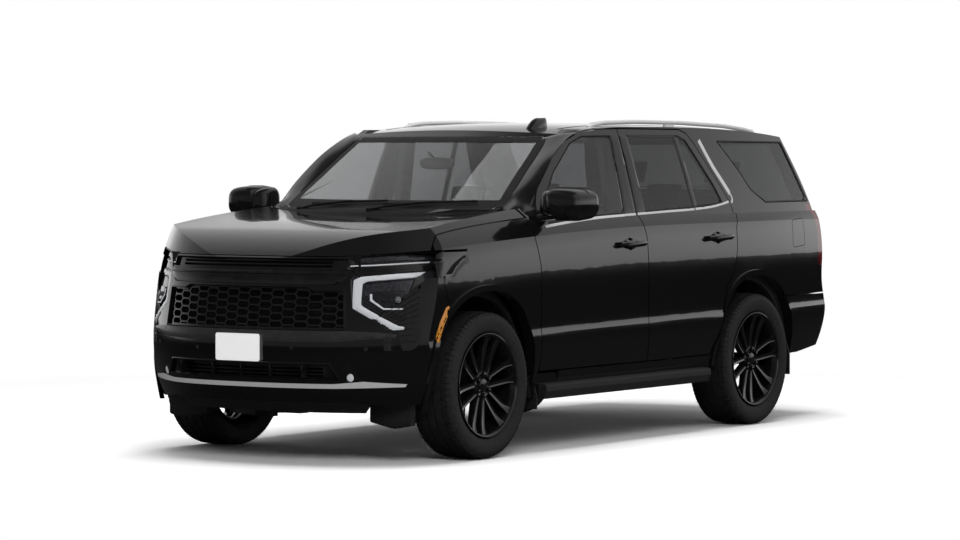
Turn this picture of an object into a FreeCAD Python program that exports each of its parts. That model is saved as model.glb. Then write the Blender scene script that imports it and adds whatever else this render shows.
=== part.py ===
import FreeCAD, Part
import math
import os

Vec = FreeCAD.Vector
os.makedirs("parts", exist_ok=True)

# Driving sizes of the whole vehicle, in millimetres

front_overhang = 1006.0
wheelbase = 3071.0
rear_overhang = 1275.0
roof_height = 1912.0
body_half_width = 1012.0
half_track = 871.0

# Panels, gaps and clearances

door_gap = 8.0
panel_gap = 5.0
seat_gap = 0.3
door_thickness = 62.0
frame_thickness = 30.0
side_thickness = 55.0
roof_thickness = 34.0
hood_thickness = 32.0
fascia_thickness = 44.0
glass_thickness = 5.0
glass_inset = 4.0
overrun = 60.0

# Skin shape of the body

crease_drop = 14.0
shoulder_radius = 230.0
glass_crown_radius = 6250.0
roof_crown = 22.0
roof_crown_half = 720.0
screen_sweep_radius = 1724.0
tail_sweep_radius = 2400.0
nose_sweep = 485.0
nose_half = 1000.0
roof_edge_radius = 18.0

# Tyres, rims, brakes and hubs

tyre_radius = 416.9
tyre_width = 275.0
groove_width = 9.0
groove_depth = 8.0
rim_seat_radius = 279.4
rim_lip_radius = 298.0
rim_width = 254.0
rim_wall = 9.0
spoke_count = 6
spoke_width = 23.0
spoke_depth = 34.0
spoke_spread = 46.0
hub_radius = 82.0
cap_radius = 36.0
lug_circle = 139.7
lug_radius = 11.0
lug_count = 6
disc_radius = 172.0
disc_thickness = 30.0
spindle_radius = 28.0
spindle_clearance = 0.8
kingpin_offset = 72.0
ball_stud_radius = 12.0
ball_stud_clearance = 1.0
liner_radius = 512.0
liner_thickness = 8.0
half_track_back = -4.0
overlap = 1.0
spindle_reach = 62.0
rear_arm_length = 640.0
tyre_wall = 14.0
tyre_shoulder_drop = 24.0
tyre_edge_drop = 6.0
wheel_face_inset = 12.0
barrel_well_drop = 22.0
barrel_slope_drop = 12.0
frame_corner_radius = 60.0


def along(share):
    """Place along the vehicle: 0 at the front axle, 1 at the rear axle, -1 and 2 at the ends."""
    front_axle = front_overhang - (front_overhang + wheelbase + rear_overhang) / 2
    if share < 0:
        return front_axle + share * front_overhang
    if share <= 1:
        return front_axle + share * wheelbase
    return front_axle + wheelbase + (share - 1) * rear_overhang


def up(share):
    """Height above the ground as a share of the roof height."""
    return share * roof_height


def out(share):
    """Distance from the middle as a share of the body's half width."""
    return share * body_half_width


front_axle_y = along(0)
rear_axle_y = along(1)
axle_z = tyre_radius
fender_inner_x = out(0.6917)
frame_low_front = up(0.2615)
rear_rail_low_z = up(0.306)
rear_arm_x = out(0.5138)


def spline(points):
    """A natural cubic curve through a few (place, value) points, as a function."""
    count = len(points)
    place = [p[0] for p in points]
    value = [p[1] for p in points]
    step = [place[i + 1] - place[i] for i in range(count - 1)]
    low = [0.0] * count
    mid = [1.0] * count
    high = [0.0] * count
    right = [0.0] * count
    for i in range(1, count - 1):
        low[i] = step[i - 1]
        mid[i] = 2 * (step[i - 1] + step[i])
        high[i] = step[i]
        rise = (value[i + 1] - value[i]) / step[i]
        right[i] = 6 * (rise - (value[i] - value[i - 1]) / step[i - 1])
    for i in range(1, count):
        factor = low[i] / mid[i - 1]
        mid[i] -= factor * high[i - 1]
        right[i] -= factor * right[i - 1]
    bend = [0.0] * count
    for i in range(count - 2, 0, -1):
        bend[i] = (right[i] - high[i] * bend[i + 1]) / mid[i]

    def at(t):
        i = 0
        while i < count - 2 and t > place[i + 1]:
            i += 1
        h = step[i]
        rise = (value[i + 1] - value[i]) / h
        if t < place[0]:
            return value[0] + (rise - h * bend[1] / 6) * (t - place[0])
        if t > place[-1]:
            return value[-1] + (rise + h * bend[-2] / 6) * (t - place[-1])
        a = (place[i + 1] - t) / h
        b = (t - place[i]) / h
        cubic = (a ** 3 - a) * bend[i] + (b ** 3 - b) * bend[i + 1]
        return a * value[i] + b * value[i + 1] + cubic * h * h / 6

    return at


def places(shares, first, second):
    """Turn a table of shares into lengths with the two measures given."""
    return [(first(a), second(b)) for a, b in shares]


# Lines that shape the body's skin

plan_shares = [
    (-1, 0.9012), (-0.7753, 0.9437), (-0.5268, 0.9723), (0, 0.9921), (0.2182, 0.997), (0.5438, 1),
    (0.8694, 0.997), (1.0776, 0.9862), (1.4698, 0.9545), (1.8227, 0.9042), (2, 0.8725),
]
crease_shares = [
    (-0.9245, 0.6093), (-0.5169, 0.6224), (0.0358, 0.6423), (0.2019, 0.6553), (0.5438, 0.6715),
    (0.902, 0.6747), (1.5482, 0.6752), (1.9404, 0.6721),
]
lower_crease_shares = [
    (-1, 0.3347), (0, 0.353), (0.2136, 0.3588), (0.5588, 0.3666), (0.857, 0.3724), (2, 0.3792),
]
profile_shares = [
    (0.1308, -0.1038), (0.1569, -0.0741), (0.2092, -0.0474), (0.2458, -0.0306), (0.2929, -0.0138),
    (0.3347, -0.0049), (0.3609, -0.003), (0.3766, -0.0079), (0.4079, -0.0069), (0.4603, -0.001),
    (0.523, 0.004), (0.5753, 0.003), (0.6172, -0.001), (0.6485, -0.0069), (0.6715, -0.0138),
]
glass_shares = [
    (0.0879, 0.8824), (0.153, 0.9042), (0.2182, 0.9239), (0.381, 0.9457), (0.5438, 0.9526),
    (0.7392, 0.9526), (0.9345, 0.9397), (1.2345, 0.915), (1.6267, 0.8735), (1.8227, 0.8419),
]
roof_shares = [
    (0.3159, 0.9691), (0.3396, 0.9749), (0.381, 0.9833), (0.4787, 0.9948), (0.6415, 1),
    (0.8694, 0.9979), (1.1561, 0.9885), (1.509, 0.9738), (1.7443, 0.9587),
]
tail_shares = [
    (0.2197, 1.909), (0.2929, 1.9718), (0.3556, 1.9984), (0.4079, 1.9906), (0.4446, 1.9498),
    (0.523, 1.9435), (0.6276, 1.9373), (0.6747, 1.9247), (0.7322, 1.8918), (0.8368, 1.8071),
    (0.9414, 1.7067), (0.9937, 1.658),
]
nose_shares = [
    (0.1308, -0.8648), (0.1831, -0.9245), (0.2354, -0.9742), (0.2929, -0.992), (0.34, -0.999),
    (0.3923, -0.9901), (0.4446, -0.9742), (0.5126, -0.9543), (0.5675, -0.9324), (0.6067, -0.8966),
    (0.6538, -0.8449),
]
hood_shares = [
    (-0.9642, 0.5544), (-0.9245, 0.5858), (-0.8748, 0.613), (-0.8052, 0.6391), (-0.7256, 0.659),
    (-0.5268, 0.6799), (-0.2286, 0.6967), (0.0228, 0.7071), (0.1042, 0.7155), (0.153, 0.7191),
]
hood_side_shares = [
    (-0.9245, 0), (-0.4771, 0), (0.0879, 0.0146), (0.153, 0.0167),
]
tumble_share = 0.262
shoulder_lean_share = 0.33
nose_power_share = 2.75

plan_line = spline(places(plan_shares, along, out))
crease_line = spline(places(crease_shares, along, up))
lower_crease_line = spline(places(lower_crease_shares, along, up))
profile_line = spline(places(profile_shares, up, out))
glass_line = spline(places(glass_shares, along, out))
roof_line = spline(places(roof_shares, along, up))
tail_line = spline(places(tail_shares, up, along))
nose_line = spline(places(nose_shares, up, along))
hood_line = spline(places(hood_shares, along, up))
hood_side_line = spline(places(hood_side_shares, along, up))

belt_z = up(0.7035)
skin_bottom = up(0.1308)
skin_top = up(1.0565)
profile_crease_z = up(0.6715)
profile_low_z = up(0.3661)


def side_skin(y, z):
    """Half width of the painted side below the belt."""
    crease = crease_line(y)
    if z > crease:
        rise = z - crease
        return plan_line(y) - crease_drop - shoulder_lean_share * rise - rise * rise / (2 * shoulder_radius)
    lower = lower_crease_line(y)
    if z > lower:
        share = (z - lower) / (crease - lower)
        z = profile_low_z + share * (profile_crease_z - profile_low_z)
    else:
        z = z + profile_low_z - lower
    return plan_line(y) + profile_line(z)


def glass_skin(y, z):
    """Half width of the cabin above the belt."""
    rise = z - belt_z
    return glass_line(y) - tumble_share * rise - rise * rise / (2 * glass_crown_radius)


def roof_skin(x, y):
    """Height of the roof at a place."""
    front = max(0.0, min(1.0, y / along(0.348)))
    sag = roof_crown * (1 + front * front)
    return roof_line(y) - sag * (x / roof_crown_half) ** 2


screen_foot_y = along(0.0944)
screen_foot_z = up(0.7322)
screen_run_share = 1.619


def screen_skin(x, z):
    return screen_foot_y + (z - screen_foot_z) * screen_run_share + x * x / (2 * screen_sweep_radius)


def tail_skin(x, z):
    return tail_line(z) - x * x / (2 * tail_sweep_radius)


def nose_skin(x, z):
    return nose_line(z) + nose_sweep * (abs(x) / nose_half) ** nose_power_share


def hood_skin(x, y):
    edge_share = abs(x) / out(0.909)
    return hood_line(y) + hood_side_line(y) * edge_share ** 3


# Surfaces, blocks and outlines

degree = 3


def knots_and_places(spans):
    """Uniform clamped knots, and the shares at which each pole stands."""
    knots = [i / spans for i in range(spans + 1)]
    full = [0.0] * degree + knots + [1.0] * degree
    stand = [sum(full[i + 1:i + degree + 1]) / degree for i in range(spans + degree)]
    mults = [degree + 1] + [1] * (spans - 1) + [degree + 1]
    return knots, mults, stand


def skin_face(height, place, along_from, along_to, low, high, long_spans, wide_spans):
    """A smooth face whose poles stand on the function height(a, b)."""
    a_knots, a_mults, a_stand = knots_and_places(long_spans)
    b_knots, b_mults, b_stand = knots_and_places(wide_spans)
    poles = []
    for share in a_stand:
        a = along_from + share * (along_to - along_from)
        row = []
        for other in b_stand:
            b = low(a) + other * (high(a) - low(a))
            row.append(place(a, b, height(a, b)))
        poles.append(row)
    surface = Part.BSplineSurface()
    surface.buildFromPolesMultsKnots(
        poles, a_mults, b_mults, a_knots, b_knots, False, False, degree, degree)
    return surface.toShape()


def level(value):
    return lambda a: value


def side_place(y, z, x):
    return Vec(x, y, z)


def top_place(x, y, z):
    return Vec(x, y, z)


def end_place(x, z, y):
    return Vec(x, y, z)


skin_front = along(-1) - overrun
skin_rear = along(2) + overrun
side_spans = 18


def side_faces():
    """The three bands of the painted side, from the sill to the belt."""
    bands = [(level(skin_bottom), lower_crease_line, 5), (lower_crease_line, crease_line, 6),
             (crease_line, level(belt_z), 3)]
    return [skin_face(side_skin, side_place, skin_front, skin_rear, low, high, side_spans, spans)
            for low, high, spans in bands]


def glass_face():
    return skin_face(glass_skin, side_place, skin_front, skin_rear, level(belt_z), level(skin_top),
                     side_spans, 3)


def roof_face():
    return skin_face(roof_skin, top_place, -out(1), out(1), level(along(0.2507)), level(skin_rear), 12, 16)


def screen_face():
    return skin_face(screen_skin, end_place, -out(1.05), out(1.05), level(skin_bottom), level(skin_top),
                     10, 3)


def tail_face():
    return skin_face(tail_skin, end_place, -out(1.05), out(1.05), level(skin_bottom), level(skin_top), 8,
                     18)


def nose_face():
    return skin_face(nose_skin, end_place, -out(1.05), out(1.05), level(up(0.1046)), level(up(0.7845)), 16,
                     12)


def hood_face():
    return skin_face(hood_skin, top_place, -out(1.05), out(1.05), level(skin_front), level(along(0.1791)),
                     12, 16)


painted_faces = side_faces()
cabin_face = glass_face()
roof_surface = roof_face()
screen_surface = screen_face()
tail_surface = tail_face()
nose_surface = nose_face()
hood_surface = hood_face()


def join(shapes):
    """Fuse a list of shapes into one."""
    if len(shapes) == 1:
        return shapes[0]
    return shapes[0].fuse(shapes[1:]).removeSplitter()


def moved(shape, x=0, y=0, z=0):
    """A copy of a shape shifted by three distances."""
    copy = shape.copy()
    copy.translate(Vec(x, y, z))
    return copy


def mirrored(shape):
    """The same shape on the other side of the vehicle."""
    return shape.mirror(Vec(0, 0, 0), Vec(1, 0, 0))


def mirrored_pair(shape):
    return [shape, mirrored(shape)]


def side_layer(low_thickness, high_thickness, inset=0):
    """The left side as a slab that follows the skin, the given depth below it."""
    slabs = [moved(face, -inset).extrude(Vec(-low_thickness, 0, 0)) for face in painted_faces]
    slabs.append(moved(cabin_face, -inset).extrude(Vec(-high_thickness, 0, 0)))
    return join(slabs)


block_depth = body_half_width
block_length = 1.5 * (front_overhang + wheelbase + rear_overhang)


def roof_block(inset=0):
    return moved(roof_surface, 0, 0, -inset).extrude(Vec(0, 0, -roof_height))


def screen_block(inset=0):
    return moved(screen_surface, 0, inset, 0).extrude(Vec(0, block_length, 0))


def tail_block(inset=0):
    return moved(tail_surface, 0, -inset, 0).extrude(Vec(0, -block_length, 0))


def nose_block(inset=0):
    return moved(nose_surface, 0, inset, 0).extrude(Vec(0, block_length / 3, 0))


def hood_block(inset=0):
    return moved(hood_surface, 0, 0, -inset).extrude(Vec(0, 0, -roof_height / 2))


def rounded(points, radius):
    """Corner arcs and straight runs of a closed outline, as lists of two or three points."""
    count = len(points)
    starts, ends, middles = [], [], []
    for i in range(count):
        here = Vec(points[i][0], points[i][1], 0)
        back = Vec(points[i - 1][0], points[i - 1][1], 0) - here
        ahead = Vec(points[(i + 1) % count][0], points[(i + 1) % count][1], 0) - here
        shorter = min(back.Length, ahead.Length)
        back.normalize()
        ahead.normalize()
        half = math.acos(max(-1.0, min(1.0, back.dot(ahead)))) / 2
        reach = radius / math.tan(half) if half > 0 else 0
        reach = min(reach, 0.45 * shorter)
        used = reach * math.tan(half)
        if half > math.radians(89.5) or used <= 0:
            starts.append(here)
            ends.append(here)
            middles.append(None)
            continue
        inward = back + ahead
        inward.normalize()
        centre = here + inward * (used / math.sin(half))
        starts.append(here + back * reach)
        ends.append(here + ahead * reach)
        middles.append(centre - inward * used)
    pieces = []
    for i in range(count):
        if middles[i] is not None:
            pieces.append([starts[i], middles[i], ends[i]])
        following = (i + 1) % count
        if (starts[following] - ends[i]).Length > seat_gap / 100:
            pieces.append([ends[i], starts[following]])
    return pieces


def outline_face(points, place, radius=0):
    """A flat face from (a, b) points, with its corners rounded."""
    edges = []
    for piece in rounded(points, radius):
        spots = [place(p.x, p.y) for p in piece]
        if len(spots) == 3:
            edges.append(Part.Arc(*spots).toShape())
        else:
            edges.append(Part.LineSegment(*spots).toShape())
    return Part.Face(Part.Wire(edges))


def across_x(points, from_x, to_x, radius=0):
    """A (y, z) outline carried along X."""
    face = outline_face(points, lambda a, b: Vec(from_x, a, b), radius)
    return face.extrude(Vec(to_x - from_x, 0, 0))


def across_y(points, from_y, to_y, radius=0):
    """An (x, z) outline carried along Y."""
    face = outline_face(points, lambda a, b: Vec(a, from_y, b), radius)
    return face.extrude(Vec(0, to_y - from_y, 0))


def across_z(points, from_z, to_z, radius=0):
    """An (x, y) outline carried along Z."""
    face = outline_face(points, lambda a, b: Vec(a, b, from_z), radius)
    return face.extrude(Vec(0, 0, to_z - from_z))


def block(from_x, to_x, from_y, to_y, from_z, to_z):
    return Part.makeBox(to_x - from_x, to_y - from_y, to_z - from_z, Vec(from_x, from_y, from_z))


def rod(start, end, radius):
    """A round bar between two places."""
    run = end - start
    return Part.makeCylinder(radius, run.Length, start, run)


def grown(points, by):
    """The same outline with every side moved out by a length, less where it is negative."""
    count = len(points)
    area = sum(points[i - 1][0] * points[i][1] - points[i][0] * points[i - 1][1] for i in range(count))
    turn = 1 if area > 0 else -1
    lines = []
    for i in range(count):
        a, b = points[i], points[(i + 1) % count]
        run = math.hypot(b[0] - a[0], b[1] - a[1])
        nx, ny = turn * (b[1] - a[1]) / run, -turn * (b[0] - a[0]) / run
        lines.append((nx, ny, nx * a[0] + ny * a[1] + by))
    moved_points = []
    for i in range(count):
        p, q = lines[i - 1], lines[i]
        det = p[0] * q[1] - q[0] * p[1]
        x = (p[2] * q[1] - q[2] * p[1]) / det
        y = (p[0] * q[2] - q[0] * p[2]) / det
        moved_points.append((x, y))
    return moved_points


def largest(shape):
    """The panel itself, without the crumbs that a trim leaves."""
    return max(shape.Solids, key=lambda s: s.Volume)


def save(name, shape):
    shape.exportStep("parts/" + name + ".step")


# Outlines on the side, as (along, up) shares

front_door_shares = [
    (0.183, 0.2458), (0.181, 0.3347), (0.1745, 0.5649), (0.1609, 0.648), (0.1622, 0.6799),
    (0.1758, 0.7244), (0.224, 0.795), (0.2973, 0.8896), (0.3465, 0.9346), (0.3989, 0.9608),
    (0.4722, 0.9749), (0.5506, 0.977), (0.5493, 0.9362), (0.5402, 0.7218), (0.5484, 0.6893),
    (0.5578, 0.6344), (0.5594, 0.5345), (0.5669, 0.3227), (0.5711, 0.2458),
]
rear_door_shares = [
    (0.5711, 0.2458), (0.5669, 0.3227), (0.5594, 0.5345), (0.5578, 0.6344), (0.5484, 0.6893),
    (0.5402, 0.7218), (0.5493, 0.9362), (0.5506, 0.977), (0.7923, 0.9759), (0.8163, 0.9634),
    (0.8356, 0.9341), (0.928, 0.7348), (0.9306, 0.7008), (0.9166, 0.6538), (0.915, 0.5837),
    (0.8994, 0.5131), (0.8727, 0.4629), (0.861, 0.3724), (0.843, 0.3028), (0.8199, 0.2479),
]
front_pane_shares = [
    (0.2312, 0.7259), (0.2507, 0.7845), (0.2866, 0.8431), (0.368, 0.931), (0.4135, 0.9519),
    (0.5181, 0.954), (0.4992, 0.7176), (0.3973, 0.7176),
]
rear_pane_shares = [
    (0.578, 0.7186), (0.5809, 0.954), (0.7779, 0.954), (0.8043, 0.9414), (0.8733, 0.795),
    (0.8929, 0.7385), (0.787, 0.7228),
]
quarter_pane_shares = [
    (0.9417, 0.9378), (1.5796, 0.9351), (1.7318, 0.7385), (1.2267, 0.7395), (1.0933, 0.7751),
    (1.0212, 0.8326),
]

# Wheel arches, each a smooth hump over its wheel

arch_height = 534.0
front_arch_ahead = 512.0
front_arch_behind = 488.0
rear_arch_ahead = 486.0
rear_arch_behind = 556.0
arch_power_share = 2.25
arch_points = 13
flare_width = 34.0
flare_rise = 11.0


def arch_curve(axle_y, ahead, behind, height):
    """Points of the hump from its front foot, over the top, to its rear foot."""
    points = []
    for i in range(2 * arch_points + 1):
        angle = math.pi * i / (2 * arch_points)
        reach = ahead if math.cos(angle) > 0 else behind
        a = abs(math.cos(angle)) ** (2 / arch_power_share)
        b = abs(math.sin(angle)) ** (2 / arch_power_share)
        a = -a if math.cos(angle) > 0 else a
        points.append((axle_y + reach * a, axle_z + height * b))
    return points


def arch_prism(axle_y, ahead, behind, grow, from_x, to_x):
    """The space of a wheel arch, open downwards, grown by a length."""
    points = arch_curve(axle_y, ahead + grow, behind + grow, arch_height + grow)
    spots = [Vec(from_x, y, z) for y, z in points]
    curve = Part.BSplineCurve()
    curve.interpolate(spots)
    low_front = Vec(from_x, spots[0].y, 0)
    low_rear = Vec(from_x, spots[-1].y, 0)
    edges = [curve.toShape(), Part.LineSegment(spots[-1], low_rear).toShape(),
             Part.LineSegment(low_rear, low_front).toShape(),
             Part.LineSegment(low_front, spots[0]).toShape()]
    return Part.Face(Part.Wire(edges)).extrude(Vec(to_x - from_x, 0, 0))


def front_arch(grow=0, from_x=out(0.6), to_x=out(1.2)):
    return arch_prism(front_axle_y, front_arch_ahead, front_arch_behind, grow, from_x, to_x)


def rear_arch(grow=0, from_x=out(0.6), to_x=out(1.2)):
    return arch_prism(rear_axle_y, rear_arch_ahead, rear_arch_behind, grow, from_x, to_x)


flare_skin = join([moved(face, flare_rise).extrude(Vec(-flare_rise - seat_gap, 0,
                                                       0)) for face in painted_faces])


def flare(arch, keep):
    """A thin lip that follows the skin round an arch."""
    skin = flare_skin
    return skin.common(arch(flare_width)).cut(arch()).common(keep)


# Envelopes of the front and of the cabin, outside and inside

def both_sides(faces, inset):
    """All that lies between the left and the right skin."""
    left = join([moved(face, -inset).extrude(Vec(-2 * block_depth, 0, 0)) for face in faces])
    return left.common(mirrored(left))


lower_body = both_sides(painted_faces, 0)
lower_core = both_sides(painted_faces, side_thickness)
wing_face = skin_face(side_skin, side_place, skin_front, skin_rear, level(belt_z), level(up(0.7845)),
                      side_spans, 3)
wing_body = both_sides([wing_face], 0)
wing_core = both_sides([wing_face], side_thickness)
upper_body = both_sides([cabin_face], 0)
upper_core = both_sides([cabin_face], side_thickness)


def front_envelope(block_of_sides, nose_inset, hood_inset):
    return block_of_sides.common(nose_block(nose_inset)).common(hood_block(hood_inset))


def cabin_envelope(lower, upper, roof_inset, screen_inset, tail_inset):
    whole = lower.fuse(upper).common(roof_block(roof_inset))
    return whole.common(tail_block(tail_inset)).common(screen_block(screen_inset))


tail_thickness = 60.0
pillar_thickness = 46.0

front_outer = front_envelope(lower_body.fuse(wing_body), 0, 0)
front_inner = front_envelope(lower_core.fuse(wing_core), fascia_thickness, hood_thickness)
front_shell = front_outer.cut(front_inner)
cabin_outer = cabin_envelope(lower_body, upper_body, 0, 0, 0)
cabin_shell = cabin_outer.cut(cabin_envelope(lower_core, upper_core, roof_thickness, pillar_thickness,
                                             tail_thickness))
wide = out(1.3)
tall = up(1.2)

# Hood

hood_rear_y = along(0.071)
hood_side_x = out(0.9206)
hood_lip_shares = [
    (-0.9684, 0.6234), (-0.5978, 0.6056), (0.5978, 0.6056), (0.9684, 0.6234), (0.9684, 0.7845),
    (-0.9684, 0.7845),
]
hood_rear_gap = 26.0
hood_pivot_y = along(0.1482)
hood_pivot_z = up(0.7238)
hinge_x = out(0.8478)
hinge_arm = 6.0
hinge_slot = 11.0
hinge_reach = 26.0
hinge_pin = 4.0
hinge_bore = 4.3
hinge_slot_radius = 34.0
hood_arm_shares = [
    (0.1508, 0.7176), (0.1237, 0.7019), (0.1107, 0.7019), (0.1107, 0.7186), (0.1456, 0.7259),
    (0.1508, 0.7259),
]


def hood_plan(grow, front_y):
    """Plan of the hood, swept at its rear edge as the screen is."""
    half = hood_side_x + grow
    back = hood_rear_gap if grow > 0 else 0
    rear = [(half * s, hood_rear_y + back + (half * s) ** 2 / (2 * screen_sweep_radius))
            for s in (1.0, 0.5, 0, -0.5, -1.0)]
    spots = [Vec(x, y, 0) for x, y in rear]
    curve = Part.BSplineCurve()
    curve.interpolate(spots)
    left, right = Vec(half, front_y, 0), Vec(-half, front_y, 0)
    edges = [curve.toShape(), Part.LineSegment(spots[-1], right).toShape(),
             Part.LineSegment(right, left).toShape(), Part.LineSegment(left, spots[0]).toShape()]
    return Part.Face(Part.Wire(edges)).extrude(Vec(0, 0, tall))


def hood_space(grow):
    lip = places(hood_lip_shares, out, up)
    return hood_plan(grow, skin_front).common(across_y(grown(lip, grow), skin_front, along(0.2)))


def hood_hinge_rod(start, end, radius):
    """A rod on the hood's hinge line, from start to end about the hinge's middle."""
    return rod(Vec(hinge_x + start, hood_pivot_y, hood_pivot_z),
               Vec(hinge_x + end, hood_pivot_y, hood_pivot_z), radius)


def make_hood():
    """The hood with an arm and a pin at each rear corner."""
    panel = front_shell.common(hood_space(0))
    arm = across_x(places(hood_arm_shares, along, up), hinge_x - hinge_arm, hinge_x + hinge_arm)
    arm = arm.common(hood_block(seat_gap))
    pin = hood_hinge_rod(-hinge_reach + seat_gap, hinge_reach - seat_gap, hinge_pin)
    panel = join([panel] + mirrored_pair(arm.fuse(pin)))
    save("hood", panel)


# Front bumper, grille, lamps and trim

split_shares = [
    (-0.4592, 0.6485), (-0.4592, 0.591), (-0.3897, 0.4707), (-0.4274, 0.1569), (-1.1233, 0.1569),
    (-1.1233, 0.6485),
]
upper_grille_shares = [
    (-0.5929, 0.569), (0.5929, 0.569), (0.5889, 0.5973), (-0.5889, 0.5973),
]
main_grille_shares = [
    (-0.6097, 0.3959), (0.6097, 0.3959), (0.5909, 0.5063), (0.4447, 0.5063), (0.4032, 0.5167),
    (-0.4032, 0.5167), (-0.4447, 0.5063), (-0.5909, 0.5063),
]
lower_grille_shares = [
    (-0.5781, 0.2542), (0.5781, 0.2542), (0.5336, 0.296), (-0.5336, 0.296),
]
lamp_shares = [
    (0.5988, 0.568), (0.5988, 0.6015), (0.9338, 0.6192), (0.9783, 0.6203), (0.9783, 0.5439),
    (0.9338, 0.5408), (0.9042, 0.523), (0.9042, 0.3661), (0.8824, 0.3347), (0.8577, 0.341),
    (0.8399, 0.3933), (0.8192, 0.3933), (0.6413, 0.4566), (0.6206, 0.5382), (0.6423, 0.5544),
]
light_bar_shares = [
    (0.6047, 0.5774), (0.6047, 0.5994), (0.9733, 0.6172), (0.9733, 0.5962),
]
light_hook_shares = [
    (0.6304, 0.5382), (0.6611, 0.5471), (0.8893, 0.5596), (0.9091, 0.5471), (0.6729, 0.5324),
    (0.6808, 0.4655), (0.8409, 0.4064), (0.8281, 0.3954), (0.6472, 0.4576),
]
projector_shares = [
    (0.7134, 0.4974), (0.8468, 0.5), (0.8468, 0.4535), (0.7787, 0.4535), (0.7194, 0.4801),
]
strip_shares = [
    (-0.8696, 0.2374), (-0.6917, 0.2458), (-0.5534, 0.2385), (0.5534, 0.2385), (0.6917, 0.2458),
    (0.8696, 0.2374), (0.8597, 0.2291), (0.5534, 0.2249), (-0.5534, 0.2249), (-0.8597, 0.2291),
]
bumper_foot_shares = [
    (-1.087, 0.1653), (-0.8439, 0.1721), (-0.5929, 0.1831), (0.5929, 0.1831), (0.8439, 0.1721),
    (1.087, 0.1653), (1.087, 0), (-1.087, 0),
]
lens_recess = 14.0
plate_width = 305.0
plate_height = 152.0
plate_thickness = 3.0
plate_z = up(0.3405)
fog_radius = 27.0
fog_x = out(0.6255)
fog_z = up(0.2584)
mesh_inset = 16.0
mesh_depth = 16.0
mesh_pitch = 88.0
mesh_row = 43.0
mesh_bar = 9.0
mesh_point_share = 0.28
rib_pitch = 20.0
rib_height = 7.0
strip_rise = 3.0
dam_shares = [
    (-0.6126, 0.1491), (0.6126, 0.1491), (0.6818, 0.1946), (-0.6818, 0.1946),
]
dam_shelf_shares = [
    (-0.6818, 0.1872), (0.6818, 0.1872), (0.6818, 0.1946), (-0.6818, 0.1946),
]
dam_inset = 90.0
dam_thickness = 14.0


def nose_layer(inset, depth):
    return moved(nose_surface, 0, inset, 0).extrude(Vec(0, depth, 0))


def front_hole(shares, grow=0):
    return across_y(grown(places(shares, out, up), grow), skin_front, along(-0.2))


def fog_hole(radius):
    start = Vec(fog_x, skin_front, fog_z)
    return rod(start, start + Vec(0, nose_sweep, 0), radius)


def make_bumper():
    """The front bumper with its openings, groove and corner cuts."""
    split = across_x(places(split_shares, along, up), -wide, wide)
    body = front_shell.common(split)
    cuts = [hood_space(panel_gap), front_hole(upper_grille_shares), front_hole(main_grille_shares),
            front_hole(lower_grille_shares), front_hole(bumper_foot_shares)]
    cuts += mirrored_pair(front_hole(lamp_shares))
    cuts += mirrored_pair(fog_hole(fog_radius + seat_gap))
    cuts += mirrored_pair(front_arch())
    body = body.cut(cuts)
    groove = nose_layer(0, strip_rise).common(front_hole(strip_shares, seat_gap))
    body = body.cut(groove)
    flange = flare(front_arch, split)
    body = largest(join([body] + mirrored_pair(flange)))
    save("front_bumper", body)
    return body


def make_air_dam(neighbours):
    """A dark lip set back under the bumper, on a shelf that meets the bumper's foot."""
    lip = nose_layer(dam_inset, dam_thickness).common(front_hole(dam_shares))
    shelf = nose_layer(0, dam_inset + dam_thickness).common(front_hole(dam_shelf_shares))
    save("air_dam", largest(join([lip, shelf]).cut(neighbours)))


def hexagon(x, z, half_width, half_height):
    point = half_width * (1 - mesh_point_share)
    return [(x - half_width, z), (x - point, z - half_height), (x + point, z - half_height),
            (x + half_width, z), (x + point, z + half_height), (x - point, z + half_height)]


def mesh_panel(shares):
    """A panel of staggered long hexagons inside one opening."""
    opening = places(shares, out, up)
    panel = nose_layer(mesh_inset, mesh_depth).common(front_hole(shares, -seat_gap))
    inner = grown(opening, -mesh_bar)
    xs = [p[0] for p in opening]
    zs = [p[1] for p in opening]
    limit = outline_face(inner, lambda a, b: Vec(a, skin_front, b))
    holes = []
    column_step = mesh_pitch * (2 - mesh_point_share)
    rows = int((max(zs) - min(zs)) / mesh_row) + 1
    columns = int((max(xs) - min(xs)) / mesh_pitch) + 2
    for row in range(2 * rows + 1):
        z = min(zs) + row * mesh_row / 2
        shift = column_step / 2 if row % 2 else 0
        for column in range(-columns, columns + 1):
            x = column * column_step + shift
            if not min(xs) - mesh_pitch < x < max(xs) + mesh_pitch:
                continue
            cell = hexagon(x, z, mesh_pitch / 2 - mesh_bar / 2, mesh_row / 2 - mesh_bar / 2)
            face = outline_face(cell, lambda a, b: Vec(a, skin_front, b)).common(limit)
            for piece in face.Faces:
                if piece.Area > mesh_bar * mesh_bar:
                    holes.append(piece.extrude(Vec(0, front_overhang, 0)))
    return panel.cut(holes)


def ribbed_panel(shares):
    """A panel of level slots inside one opening."""
    opening = places(shares, out, up)
    zs = [p[1] for p in opening]
    xs = [p[0] for p in opening]
    panel = nose_layer(mesh_inset, mesh_depth).common(front_hole(shares, -seat_gap))
    slots = []
    z = min(zs) + rib_height
    while z + rib_pitch - rib_height < max(zs):
        slots.append(block(min(xs) * 0.86, max(xs) * 0.86, skin_front, along(-0.2), z,
                           z + rib_pitch - rib_height))
        z += rib_pitch
    return panel.cut(slots)


def make_grille():
    parts = [mesh_panel(main_grille_shares), ribbed_panel(upper_grille_shares),
             ribbed_panel(lower_grille_shares)]
    save("grille", Part.makeCompound(parts))


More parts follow.
